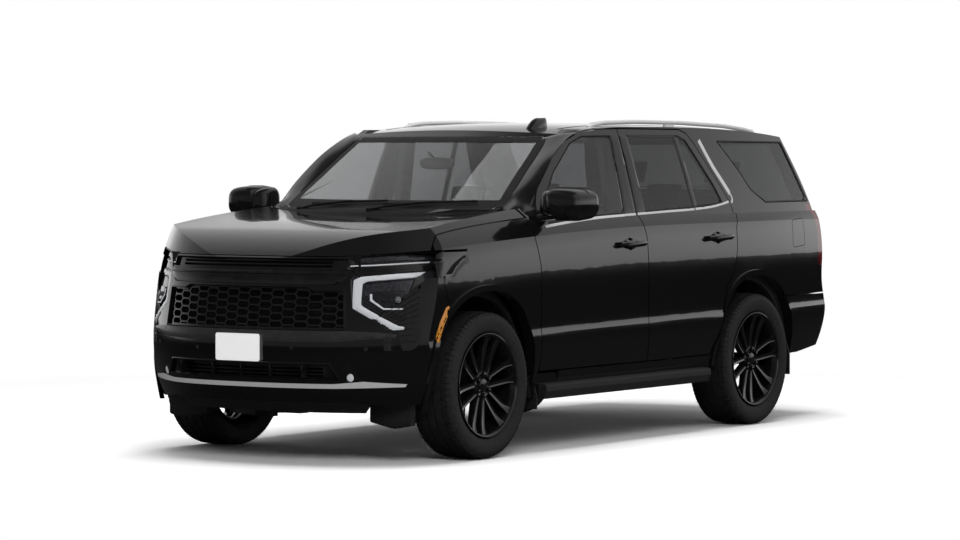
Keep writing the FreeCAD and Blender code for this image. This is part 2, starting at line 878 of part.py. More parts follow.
def make_headlamps():
    """Both lamp housings and the fog lamps."""
    body = front_shell.common(front_hole(lamp_shares, -seat_gap)).cut(hood_space(panel_gap))
    face = nose_layer(-overrun, overrun + lens_recess)
    raised = join([front_hole(light_bar_shares), front_hole(light_hook_shares),
                   front_hole(projector_shares)])
    lens = body.cut(face.cut(raised))
    fog = nose_layer(lens_recess / 2, fascia_thickness - lens_recess).common(fog_hole(fog_radius))
    solids = [lens, fog]
    save("headlamps", Part.makeCompound(solids + [mirrored(s) for s in solids]))


def make_front_trim():
    """The bright strip and the bare number plate."""
    strip = nose_layer(-seat_gap, strip_rise).common(front_hole(strip_shares))
    save("bumper_strip", strip)
    face_y = nose_skin(plate_width / 2, plate_z)
    low, high = plate_z - plate_height / 2, plate_z + plate_height / 2
    half = plate_width / 2
    front_y = nose_skin(0, plate_z) - plate_thickness * 3
    plate = across_y([(-half, low), (half, low), (half, high), (-half, high)], front_y,
                     front_y + plate_thickness, plate_height / 12)
    carrier = block(-half * 0.9, half * 0.9, front_y + plate_thickness, face_y + plate_thickness,
                    low + plate_thickness, high - plate_thickness)
    carrier = carrier.cut(nose_layer(0, front_overhang))
    save("number_plate", join([plate, carrier]))


# Fenders

fender_region_shares = [
    (-0.4553, 0.6485), (-0.4553, 0.591), (-0.3857, 0.4697), (-0.3857, 0.1726), (0.181, 0.1726),
    (0.1791, 0.3347), (0.1726, 0.5649), (0.1589, 0.648), (0.1602, 0.6799), (0.1732, 0.7207),
    (0.1732, 0.7845), (-0.4553, 0.7845),
]


def make_fender():
    """The left front fender with its inner wall; the right one mirrors it."""
    region = across_x(places(fender_region_shares, along, up), 0, wide)
    hinge_line = across_x(grown(places(front_door_shares, along, up), door_gap), 0, wide)
    split = across_x(grown(places(split_shares, along, up), panel_gap), 0, wide)
    body = front_shell.common(region).cut([hood_space(panel_gap), front_arch(), split, hinge_line])
    body = body.cut(front_hole(lamp_shares, panel_gap))
    body = body.cut(block(-wide, fender_inner_x, skin_front, along(0.5), 0, tall))
    body = body.cut([hood_hinge_rod(-hinge_slot, hinge_slot, hinge_slot_radius),
                     hood_hinge_rod(-hinge_reach, hinge_reach, hinge_bore)])
    lip = flare(front_arch, region.cut([split, hinge_line]))
    body = largest(join([body, lip]))
    save("fender_left", body)
    save("fender_right", mirrored(body))
    return body


# Doors

window_radius = 22.0
door_radius = 9.0
handle_length = 280.0
handle_height = 30.0
handle_depth = 22.0
handle_gap = 24.0
recess_height = 76.0
recess_depth = 20.0
front_handle_y = along(0.4943)
front_handle_z = up(0.6177)
rear_handle_y = along(0.8369)
rear_handle_z = up(0.626)
trim_depth = 46.0
trim_margin = 74.0
trim_low_z = up(0.2929)
trim_high_z = up(0.6747)
armrest_z = up(0.5152)
armrest_height = 70.0
armrest_depth = 60.0


def handle(centre_y, centre_z):
    """A pull handle with its two feet, and the recess behind it."""
    skin = side_skin(centre_y, centre_z)
    half = handle_length / 2
    bar = block(skin + handle_gap - recess_depth, skin + handle_gap - recess_depth + handle_depth,
                centre_y - half, centre_y + half, centre_z - handle_height / 2, centre_z + handle_height / 2)
    bar = bar.makeFillet(handle_depth * 0.32, [e for e in bar.Edges])
    foot = handle_height * 0.8
    feet = [block(skin - recess_depth * 1.6, skin + handle_gap - recess_depth + handle_depth / 2,
                  y - foot / 2,
                  y + foot / 2, centre_z - foot / 2, centre_z + foot / 2)
            for y in (centre_y - half + foot * 0.8, centre_y + half - foot * 0.8)]
    cup = Part.makeCylinder(recess_height / 2, recess_depth * 2,
                            Vec(skin - recess_depth, centre_y, centre_z),
                            Vec(1, 0, 0))
    return join([bar] + feet), cup


door_layer = side_layer(door_thickness, frame_thickness)
pad_layer = join([moved(f, -door_thickness).extrude(Vec(-trim_depth, 0, 0)) for f in painted_faces])


def make_door(shares, pane_shares, handle_y, handle_z):
    """One left door, its glass and its handle."""
    outline = places(shares, along, up)
    pane = places(pane_shares, along, up)
    body = door_layer.common(across_x(outline, 0, wide, door_radius))
    body = body.cut(across_x(pane, 0, wide, window_radius))
    inner = grown(outline, -trim_margin)
    low = block(0, wide, skin_front, skin_rear, trim_low_z, trim_high_z)
    pad = pad_layer.common(across_x(inner, 0, wide, trim_margin / 2)).common(low)
    rest = block(side_skin(handle_y, armrest_z) - door_thickness - trim_depth - armrest_depth,
                 side_skin(handle_y, armrest_z) - door_thickness, min(p[0] for p in inner) + trim_margin,
                 max(p[0] for p in inner) - 2 * trim_margin, armrest_z - armrest_height / 2,
                 armrest_z + armrest_height / 2)
    rest = rest.makeFillet(armrest_height * 0.25, rest.Edges)
    grip, cup = handle(handle_y, handle_z)
    body = join([body.cut(cup), grip, pad, rest])
    glass = moved(cabin_face, -glass_inset).extrude(Vec(-glass_thickness, 0, 0))
    glass = glass.common(across_x(grown(pane, -seat_gap), 0, wide, window_radius))
    return body, glass


mirror_y = along(0.2149)
mirror_z = up(0.749)
mirror_width = 236.0
mirror_height = 176.0
mirror_depth = 150.0
mirror_arm_radius = 24.0
mirror_inner_x = out(0.9506)
mirror_dish = 5.0


def make_mirror():
    """A door mirror: a shell that narrows forward, with its glass set back, on a short arm."""
    rear = [(mirror_inner_x, mirror_z - mirror_height * 0.42),
            (mirror_inner_x + mirror_width, mirror_z - mirror_height * 0.5),
            (mirror_inner_x + mirror_width,
             mirror_z + mirror_height * 0.36), (mirror_inner_x + mirror_width * 0.1,
                                                mirror_z + mirror_height * 0.5)]
    sections = []
    for back, share in ((0, 1.0), (0.5, 0.94), (0.85, 0.72), (1.0, 0.42)):
        cx = mirror_inner_x + mirror_width / 2
        pts = [(cx + (x - cx) * share, mirror_z + (z - mirror_z) * share) for x, z in rear]
        face = outline_face(pts, lambda a, b, y=mirror_y - back * mirror_depth: Vec(a, y, b),
                            mirror_height * 0.2 * share)
        sections.append(face.OuterWire)
    shell = Part.makeLoft(sections, True, False)
    inner = [(mirror_inner_x + (x - mirror_inner_x) * 0.9 + mirror_width * 0.05,
              mirror_z + (z - mirror_z) * 0.88) for x, z in rear]
    dish = across_y(inner, mirror_y - mirror_dish, mirror_y + mirror_dish, mirror_height * 0.17)
    foot = Vec(glass_skin(mirror_y, belt_z) - frame_thickness / 2, mirror_y - mirror_depth * 0.3,
               mirror_z - mirror_height * 0.3)
    arm = rod(foot, foot + Vec(mirror_width * 0.45, 0, -mirror_height * 0.02), mirror_arm_radius)
    return join([shell.cut(dish), arm])


def make_doors():
    """The four doors with their glass, and the mirrors on the front ones."""
    front, front_glass = make_door(front_door_shares, front_pane_shares, front_handle_y, front_handle_z)
    front = join([front, make_mirror()])
    rear, rear_glass = make_door(rear_door_shares, rear_pane_shares, rear_handle_y, rear_handle_z)
    rear = rear.cut(across_x(grown(places(front_door_shares, along, up), door_gap), 0, wide))
    for place, panel, glass in (("f", front, front_glass), ("r", rear, rear_glass)):
        save("door_" + place + "l", panel)
        save("door_" + place + "r", mirrored(panel))
        save("glass_" + place + "l", glass)
        save("glass_" + place + "r", mirrored(glass))


# Body sides, roof, screen and tail

body_region_shares = [
    (0.1237, 0.7238), (0.1237, 1.0408), (1.9796, 1.0408), (1.9796, 0.4215), (1.0776, 0.4215),
    (1.0776, 0.2071), (0.1843, 0.2071), (0.1843, 0.7238),
]
screen_pane_shares = [
    (-0.7796, 0.7301), (0.7796, 0.7301), (0.6818, 0.954), (-0.6818, 0.954),
]
gate_shares = [
    (-0.7905, 0.4215), (0.7905, 0.4215), (0.8162, 0.5178), (0.8182, 0.6799), (0.7856, 0.7427),
    (0.6966, 0.9388), (0.6719, 1.0408), (-0.6719, 1.0408), (-0.6966, 0.9388), (-0.7856, 0.7427),
    (-0.8182, 0.6799), (-0.8162, 0.5178),
]
gate_pane_shares = [
    (-0.7263, 0.7113), (0.7263, 0.7113), (0.6472, 0.9283), (-0.6472, 0.9283),
]
tail_lamp_shares = [
    (1.6973, 0.7249), (2.0188, 0.7249), (2.0188, 0.5152), (1.7537, 0.5178), (1.7443, 0.6276),
    (1.7286, 0.6747),
]
roof_side_x = out(0.6818)
spoiler_shares = [
    (1.5608, 0.9477), (1.5608, 0.9937), (1.9404, 0.9728), (1.9404, 0.9529), (1.6267, 0.9289),
]
spoiler_half_x = out(0.668)
gate_pivot_y = along(1.5529)
gate_pivot_z = roof_skin(0, gate_pivot_y) - 8.0
gate_hinge_lead = 4.0
gate_edge_depth = 15.0
gate_edge_step = 16.0
gate_pin = 3.5
gate_ring_radius = 7.0
gate_swing_radius = 14.0
gate_ring_width = 20.0
gate_hinge_x = 150.0
gate_arm_width = 16.0
gate_arm_shares = [
    (1.5506, 0.9655), (1.5553, 0.9671), (1.6267, 0.9613), (1.6267, 0.9493), (1.5875, 0.9493),
]
spoiler_reach = 46.0
spoiler_thickness = 40.0
roof_layer = roof_surface.extrude(Vec(0, 0, -spoiler_thickness))
rail_inner_x = out(0.6917)
rail_outer_x = out(0.7352)
rail_low_z = up(0.9393)
rail_high_z = up(0.9759)
sill_inner_x = out(0.8281)
sill_outer_x = out(0.9536)
sill_low_z = up(0.1663)
sill_high_z = up(0.2364)
floor_top_z = up(0.285)
pillar_b_shares = [
    (0.8775, 0.2092), (0.8775, 0.523), (0.7964, 0.6956), (0.7332, 0.9414), (0.6917, 0.9414),
    (0.747, 0.6956), (0.8281, 0.523), (0.8281, 0.2092),
]
pillar_a_shares = [
    (0.8775, 0.2092), (0.8775, 0.523), (0.8024, 0.6956), (0.7806, 0.7113), (0.7362, 0.7113),
    (0.751, 0.6956), (0.8281, 0.523), (0.8281, 0.2092),
]
pillar_b_from_y = along(0.5291)
pillar_b_to_y = along(0.564)
pillar_a_from_y = along(0.1482)
pillar_a_to_y = along(0.1856)


def gate_hole(grow=0):
    return across_y(grown(places(gate_shares, out, up), grow), along(1.55), along(2.2))


aperture_flange = 24.0
rear_door_swing_y = along(0.6219)


def door_hole(shares, open_to_y=None):
    """A door's place in the body side, with a flange left inboard of its window frame."""
    outline = places(shares, along, up)
    whole = across_x(grown(outline, door_gap), 0, wide)
    frame_depth = frame_thickness + door_gap
    frame = whole.common(moved(cabin_face, overrun).extrude(Vec(-overrun - frame_depth, 0, 0)))
    low = whole.common(block(0, wide, skin_front, skin_rear, 0, belt_z))
    inner = across_x(grown(outline, -aperture_flange), 0, wide)
    if open_to_y is None:
        return frame.fuse([low, inner])
    swing = whole.common(block(0, wide, skin_front, open_to_y, 0, tall))
    swing = swing.common(moved(cabin_face, overrun).extrude(Vec(-overrun - side_thickness - panel_gap, 0,
                                                                0)))
    return frame.fuse([low, inner, swing])


def make_body_sides(fender):
    """Sills, pillars and rear quarters of both sides."""
    region = across_x(places(body_region_shares, along, up), 0, wide)
    roof_slot = block(-wide, roof_side_x, skin_front, skin_rear, up(0.9414), tall)
    screen_hole = across_y(grown(places(screen_pane_shares, out, up), seat_gap), skin_front, along(0.55))
    cuts = [door_hole(front_door_shares), door_hole(rear_door_shares, rear_door_swing_y),
            across_x(places(quarter_pane_shares, along, up), 0, wide, window_radius),
            across_x(places(tail_lamp_shares, along, up), 0, wide),
            rear_arch(), roof_slot, screen_hole, gate_hole(door_gap),
            block(-wide, 0, skin_front, skin_rear, 0, tall)]
    skin = cabin_shell.common(region).cut(cuts)
    rail = across_x([(along(0.3484), rail_low_z), (along(0.4005), rail_high_z),
                     (along(0.9345), rail_high_z), (along(0.9345), rail_low_z)],
                    rail_inner_x, rail_outer_x)
    sill = block(sill_inner_x, sill_outer_x, along(0.1482), along(0.8206), sill_low_z, sill_high_z)
    post_b = across_y(places(pillar_b_shares, out, up), pillar_b_from_y, pillar_b_to_y)
    post_a = across_y(places(pillar_a_shares, out, up), pillar_a_from_y, pillar_a_to_y)
    body = join([skin, rail, sill, post_b, post_a])
    lip = flare(rear_arch, region.cut([cuts[1], gate_hole(door_gap)]))
    body = largest(join([body, lip]).cut(fender))
    save("body_side_left", body)
    save("body_side_right", mirrored(body))
    return body


def gate_hinge_rod(start, end, radius):
    """A rod on the gate's hinge line between two places across the vehicle."""
    return rod(Vec(start, gate_pivot_y, gate_pivot_z), Vec(end, gate_pivot_y, gate_pivot_z), radius)


def gate_ring_starts():
    return (-gate_hinge_x + gate_arm_width + seat_gap,
            gate_hinge_x - gate_arm_width - gate_ring_width - seat_gap)


def make_roof():
    """The roof with its front header and the rings of the rear hinge."""
    body = cabin_shell.common(block(-roof_side_x + seat_gap, roof_side_x - seat_gap, along(0.3159),
                                    gate_pivot_y - gate_hinge_lead,
                                    up(0.9414), tall))
    screen_hole = across_y(grown(places(screen_pane_shares, out, up), seat_gap), skin_front, along(0.55))
    body = body.cut([screen_hole, gate_hole(door_gap)])
    rings = [gate_hinge_rod(start, start + gate_ring_width,
                            gate_ring_radius) for start in gate_ring_starts()]
    body = join([body] + rings).cut([gate_hinge_rod(-gate_hinge_x, gate_hinge_x, gate_pin + seat_gap)])
    save("roof_panel", body)


def make_fixed_glass():
    """The windscreen and the rear quarter panes."""
    screen = screen_surface.extrude(Vec(0, glass_thickness * 1.8, 0))
    screen = screen.common(across_y(places(screen_pane_shares, out, up), skin_front, along(0.55),
                                    window_radius))
    pane = moved(cabin_face, -glass_inset).extrude(Vec(-glass_thickness, 0, 0))
    pane = pane.common(across_x(grown(places(quarter_pane_shares, along, up), -seat_gap), 0, wide,
                                window_radius))
    save("fixed_glass", Part.makeCompound([screen, pane, mirrored(pane)]))


def make_liftgate():
    """The rear gate with its glass and hinge arms."""
    body = cabin_shell.common(gate_hole()).common(block(-wide, wide, along(1.6), skin_rear, 0, tall))
    pane = places(gate_pane_shares, out, up)
    body = body.cut(across_y(pane, along(1.5), along(2.2), window_radius))
    body = body.cut(tail_block(gate_edge_depth).cut(gate_hole(-gate_edge_step)))
    spoiler = across_x(places(spoiler_shares, along, up), -spoiler_half_x, spoiler_half_x)
    spoiler = spoiler.common(roof_block()).common(tail_block(-spoiler_reach))
    spoiler = spoiler.cut(tail_block(tail_thickness).cut(roof_layer))
    spoiler = spoiler.common(roof_layer.fuse(tail_block(-spoiler_reach).cut(tail_block())))
    body = join([body, spoiler]).cut(gate_hinge_rod(-wide, wide, gate_swing_radius))
    arms = []
    for side in (-1, 1):
        edge = side * gate_hinge_x
        near = edge - side * gate_arm_width
        arms.append(across_x(places(gate_arm_shares, along, up), min(edge, near), max(edge, near)))
        far = near - side * (gate_ring_width + gate_pin)
        arms.append(gate_hinge_rod(min(edge, far), max(edge, far), gate_pin))
    body = join([body] + arms)
    glass = moved(tail_surface, 0, -glass_inset, 0).extrude(Vec(0, -glass_thickness * 1.2, 0))
    glass = glass.common(across_y(grown(pane, -seat_gap), along(1.5), along(2.2), window_radius))
    save("liftgate", body)
    save("liftgate_glass", glass)


def make_tail_lamps():
    """Both tall rear lamps."""
    lamp = cabin_shell.common(across_x(grown(places(tail_lamp_shares, along, up), -seat_gap), 0, wide))
    lamp = lamp.cut(gate_hole(door_gap))
    save("tail_lamps", Part.makeCompound([lamp, mirrored(lamp)]))


hitch_half = 38.0
hitch_bore_half = 25.4
hitch_length = 230.0
hitch_pin_radius = 8.3
hitch_z = up(0.2746)
rear_bumper_shares = [
    (1.0776, 0.4174), (2.1757, 0.4174), (2.1757, 0.2929), (1.8933, 0.2458), (1.5482, 0.2223),
    (1.0776, 0.2223),
]


def make_rear_bumper(frame):
    """The rear bumper with its mouth for the tow socket."""
    region = across_x(places(rear_bumper_shares, along, up), -wide, wide)
    region = region.common(block(-wide, wide, along(1.1561), skin_rear, 0, tall))
    whole = lower_body.common(tail_block()).common(region)
    body = whole.cut(lower_core.common(tail_block(fascia_thickness)))
    lips = mirrored_pair(flare(rear_arch, region))
    mouth_half = hitch_half + 2 * door_gap
    mouth = block(-mouth_half, mouth_half, along(1.7), skin_rear, hitch_z - mouth_half,
                  hitch_z + mouth_half)
    body = join([body] + lips).cut(mirrored_pair(rear_arch()) + [gate_hole(door_gap), mouth, frame])
    save("rear_bumper", body)
    return body


# Roof rails, aerial, running boards, cowl

roof_rail_x = out(0.6472)
roof_rail_width = 30.0
roof_rail_shares = [
    (0.4884, 0.9738), (0.5129, 0.9969), (0.5633, 1.0052), (0.6903, 1.0089), (0.8694, 1.0073),
    (1.1169, 0.9984), (1.36, 0.9854), (1.458, 0.9738), (1.4776, 0.9582), (1.3914, 0.9676),
    (1.3129, 0.9791), (1.0776, 0.9911), (0.8694, 0.9995), (0.6903, 1.001), (0.5698, 0.9969),
    (0.5373, 0.9833), (0.5308, 0.9738),
]
fin_length = 150.0
fin_height = 46.0
fin_width = 34.0
fin_x = out(0.1729)
fin_y = along(0.4135)
board_shares = [
    (0.8943, 0.205), (0.9881, 0.2061), (1.0099, 0.2008), (1.0099, 0.1841), (0.9921, 0.16),
    (0.8943, 0.16),
]
board_from_y = along(0.1863)
board_to_y = along(0.801)
board_bracket_width = 60.0
board_arm_shares = [
    (0.4644, 0.1956), (0.4644, 0.2223), (0.7905, 0.1804), (0.8281, 0.1663), (0.919, 0.1663),
    (0.919, 0.1559), (0.7905, 0.1559),
]


def roof_rail():
    """A flat bar that rises from the roof at both ends."""
    bar = across_x(places(roof_rail_shares, along, up), roof_rail_x, roof_rail_x + roof_rail_width,
                   wheelbase)
    return bar.cut(roof_block(-seat_gap))


def make_roof_fittings():
    """Roof rails and the aerial fin."""
    bar = roof_rail()
    base = roof_skin(fin_x, fin_y)
    half = fin_width / 2
    fin_points = [(fin_y - fin_length * 0.55, base - fin_height / 2),
                  (fin_y + fin_length * 0.2, base + fin_height),
                  (fin_y + fin_length * 0.38, base + fin_height), (fin_y + fin_length / 2,
                                                                   base - fin_height / 2)]
    fin = across_x(fin_points, fin_x - half, fin_x + half, fin_height * 0.3)
    tilt = [(fin_x - half, base - fin_height), (fin_x + half, base - fin_height),
            (fin_x + half * 0.25, base + fin_height * 1.2),
            (fin_x - half * 0.25, base + fin_height * 1.2)]
    fin = fin.common(across_y(tilt, fin_y - fin_length, fin_y + fin_length)).cut(roof_block(-seat_gap))
    save("roof_fittings", Part.makeCompound([bar, mirrored(bar), fin]))


def make_running_boards(neighbours):
    """Side steps on brackets that reach in to the frame."""
    board = across_y(places(board_shares, out, up), board_from_y, board_to_y, roof_edge_radius / 2)
    arms = []
    for share in (0.12, 0.5, 0.88):
        y = board_from_y + share * (board_to_y - board_from_y)
        half = board_bracket_width / 2
        arms.append(across_y(places(board_arm_shares, out, up), y - half, y + half))
    above = block(0, sill_outer_x + seat_gap, skin_front, skin_rear, sill_low_z - seat_gap, sill_high_z)
    above = above.common(block(sill_inner_x - seat_gap, wide, skin_front, skin_rear, 0, tall))
    body = largest(join([board] + arms).cut([above] + neighbours))
    save("running_boards", Part.makeCompound([body, mirrored(body)]))


cowl_shares = [
    (0.0554, 0.6998), (0.0554, 0.7071), (0.0895, 0.7176), (0.1075, 0.7322), (0.1791, 0.7322),
    (0.1791, 0.6998),
]
cowl_half = out(0.8053)


def make_cowl(neighbours):
    """The panel below the screen, between the fenders."""
    bar = across_x(places(cowl_shares, along, up), -cowl_half, cowl_half)
    bar = bar.cut(hood_plan(panel_gap, skin_front).common(block(-wide, wide, skin_front, along(0.5), 0,
                                                                tall)))
    bar = bar.cut([screen_block(-seat_gap)] + neighbours)
    bar = largest(bar)
    save("cowl_panel", bar)
    return bar


# Chassis frame and floor

rail_inner_side = out(0.3953)
rail_outer_side = out(0.4743)
frame_shares = [
    (-0.8052, 0.2458), (-0.8052, 0.3243), (-0.4771, 0.3347), (0.0716, 0.3138), (0.1205, 0.2673),
    (0.7717, 0.2673), (0.8564, 0.3609), (1.2737, 0.3661), (1.4698, 0.3138), (1.8776, 0.3086),
    (1.8776, 0.251), (1.4541, 0.2458), (1.2659, 0.2981), (0.8629, 0.2929), (0.7782, 0.1935),
    (0.2019, 0.1935), (0.1433, 0.2249), (-0.4771, 0.2615),
]
cross_member_width = 90.0
cross_member_height = 70.0
cross_member_shares = [
    (-0.7058, 0.2929), (0.1693, 0.2066), (0.4461, 0.2171), (0.7392, 0.2144), (0.8857, 0.3243),
    (1.3129, 0.3295), (1.8149, 0.2824),
]


def make_frame():
    """The ladder frame with its cross members and tow socket."""
    rail = across_x(places(frame_shares, along, up), rail_inner_side, rail_outer_side, frame_corner_radius)
    parts = [rail, mirrored(rail)]
    for y, z in places(cross_member_shares, along, up):
        parts.append(block(-rail_inner_side, rail_inner_side, y - cross_member_width / 2,
                           y + cross_member_width / 2,
                           z - cross_member_height / 2, z + cross_member_height / 2))
    end_y = along(1.9129)
    tube = block(-hitch_half, hitch_half, end_y - hitch_length, end_y, hitch_z - hitch_half,
                 hitch_z + hitch_half)
    bore = block(-hitch_bore_half, hitch_bore_half, end_y - hitch_length, end_y + overrun,
                 hitch_z - hitch_bore_half,
                 hitch_z + hitch_bore_half)
    pin_y = end_y - hitch_half * 1.6
    pin = rod(Vec(-hitch_half * 2, pin_y, hitch_z), Vec(hitch_half * 2, pin_y, hitch_z), hitch_pin_radius)
    frame = join(parts + [tube]).cut([bore, pin])
    save("chassis_frame", frame)
    return frame


floor_thickness = 34.0
front_liner_inner_x = out(0.499)
rear_liner_inner_x = out(0.6423)
floor_side_x = out(0.8281)
rear_floor_side_x = out(0.6601)
bulkhead_half = out(0.6818)
tunnel_radius = 30.0
rear_floor_shares = [
    (0.7261, 0.2673), (0.7261, 0.285), (0.7717, 0.285), (0.8238, 0.4027), (1.7286, 0.4027),
    (1.7286, 0.3849), (0.832, 0.3849), (0.7799, 0.2673),
]
main_floor_shares = [
    (0.1416, 0.285), (0.1416, 0.2673), (0.731, 0.2673), (0.731, 0.285),
]
bulkhead_shares = [
    (0.1329, 0.2673), (0.1329, 0.7008), (0.1426, 0.7008), (0.1426, 0.2673),
]
tunnel_shares = [
    (-0.1581, 0.2673), (-0.1581, 0.3661), (0.1581, 0.3661), (0.1581, 0.2673),
]
tunnel_hollow_shares = [
    (-0.1304, 0.2406), (-0.1304, 0.3515), (0.1304, 0.3515), (0.1304, 0.2406),
]
tunnel_from_y = along(0.1416)
tunnel_to_y = along(0.7196)


def wheel_house(wheel_y, inner, outer, inset=0):
    """The drum shaped room round a wheel."""
    start = Vec(inner + inset, wheel_y, axle_z)
    return Part.makeCylinder(liner_radius - inset, outer - inner, start, Vec(1, 0, 0))


def make_floor(frame, cowl):
    """The cabin floor, raised behind the second seats, with its tunnel and the wall to the engine."""
    main = across_x(places(main_floor_shares, along, up), -floor_side_x, floor_side_x)
    rear = across_x(places(rear_floor_shares, along, up), -rear_floor_side_x, rear_floor_side_x)
    wall = across_x(places(bulkhead_shares, along, up), -bulkhead_half, bulkhead_half)
    tunnel = across_y(places(tunnel_shares, out, up), tunnel_from_y, tunnel_to_y, tunnel_radius)
    hollow = places(tunnel_hollow_shares, out, up)
    hollow = across_y(hollow, tunnel_from_y - floor_thickness, tunnel_to_y - floor_thickness, tunnel_radius)
    floor = join([main, rear, wall, tunnel]).cut([hollow, frame, cowl])
    houses = [wheel_house(front_axle_y, front_liner_inner_x, wide),
              wheel_house(rear_axle_y, rear_liner_inner_x, wide)]
    floor = largest(floor.cut(mirrored_pair(houses[0]) + mirrored_pair(houses[1])))
    save("floor_pan", floor)
    return floor


liner_outer_x = out(0.8943)
rear_liner_outer_x = out(0.914)
flap_thickness = 10.0
liner_low_z = up(0.2929)
liner_window_z = up(0.4498)
front_flap_shares = [
    (0.7806, 0.1308), (0.9733, 0.1308), (0.9733, 0.1726), (0.8893, 0.3033), (0.7806, 0.3033),
]
rear_flap_shares = [
    (0.7806, 0.1517), (0.9387, 0.1517), (0.9387, 0.2197), (0.8893, 0.3138), (0.7806, 0.3138),
]
front_flap_y = along(0.1693)
rear_flap_y = along(1.411)


def liner(wheel_y, inner, outer):
    """A sheet bent over a wheel, closed on its inner side."""
    low = block(0, wide, skin_front, skin_rear, -tall, liner_low_z)
    return wheel_house(wheel_y, inner, outer).cut([wheel_house(wheel_y, inner, outer, liner_thickness),
                                                   low])


def make_liners(neighbours):
    """Wheel house liners and mud flaps, trimmed where they meet the body."""
    front = liner(front_axle_y, front_liner_inner_x, liner_outer_x)
    rear = liner(rear_axle_y, rear_liner_inner_x, rear_liner_outer_x)
    half = half_track / 4
    window = block(0, front_liner_inner_x + 2 * liner_thickness, front_axle_y - half, front_axle_y + half,
                   0, liner_window_z)
    front = front.cut(window)
    flap_front = across_y(places(front_flap_shares, out, up), front_flap_y, front_flap_y + flap_thickness)
    flap_rear = across_y(places(rear_flap_shares, out, up), rear_flap_y, rear_flap_y + flap_thickness)
    solids = [largest(s.cut(neighbours)) for s in (front, rear, flap_front, flap_rear)]
    save("wheel_liners", Part.makeCompound(solids + [mirrored(s) for s in solids]))


# Wheels and tyres

def revolve_x(points, centre, radius=0):
    """An (x, radius) outline turned round a wheel's axle; centre is the axle's place."""
    face = outline_face(points, lambda a, b: Vec(centre.x + a, centre.y, centre.z + b), radius)
    return face.revolve(centre, Vec(1, 0, 0), 360)


def make_tyre(centre):
    """A tyre turned about its axle, with its grooves."""
    half = tyre_width / 2
    bead = rim_width / 2 - rim_wall * 2
    outline = [(-bead, rim_seat_radius + seat_gap), (-half * 0.93, rim_lip_radius + rim_wall * 2),
               (-half, (rim_lip_radius + tyre_radius) / 2),
               (-half * 0.95, tyre_radius - tyre_shoulder_drop), (-half * 0.86, tyre_radius - tyre_edge_drop),
               (0, tyre_radius), (half * 0.86, tyre_radius - tyre_edge_drop),
               (half * 0.95, tyre_radius - tyre_shoulder_drop), (half, (rim_lip_radius + tyre_radius) / 2),
               (half * 0.93, rim_lip_radius + rim_wall * 2), (bead, rim_seat_radius + seat_gap)]
    body = revolve_x(outline, centre, tyre_wall)
    grooves = []
    for share in (-0.5, -0.17, 0.17, 0.5):
        x = share * half
        ring = [(x - groove_width / 2, tyre_radius - groove_depth),
                (x + groove_width / 2, tyre_radius - groove_depth),
                (x + groove_width / 2, tyre_radius + groove_depth), (x - groove_width / 2,
                                                                     tyre_radius + groove_depth)]
        grooves.append(revolve_x(ring, centre))
    return body.cut(grooves)


def spoke_pair(centre, angle):
    """One of the wheel's spokes: a root that splits into two arms reaching the rim."""
    face_x = rim_width / 2 - wheel_face_inset
    arms = []
    for side in (-1, 1):
        root_half = spoke_width * 0.62
        tip_centre = side * spoke_spread
        points = [(hub_radius * 0.7, side * spoke_width * 0.35 - root_half * 0.5),
                  (rim_seat_radius - rim_wall / 2, tip_centre - spoke_width / 2),
                  (rim_seat_radius - rim_wall / 2, tip_centre + spoke_width / 2),
                  (hub_radius * 0.7, side * spoke_width * 0.35 + root_half * 0.5)]
        face = outline_face(points, lambda a, b: Vec(centre.x + face_x - spoke_depth * 1.6, centre.y + b,
                                                     centre.z + a))
        arms.append(face.extrude(Vec(spoke_depth * 1.6, 0, 0)))
    pair = join(arms)
    pair.rotate(centre, Vec(1, 0, 0), angle)
    return pair


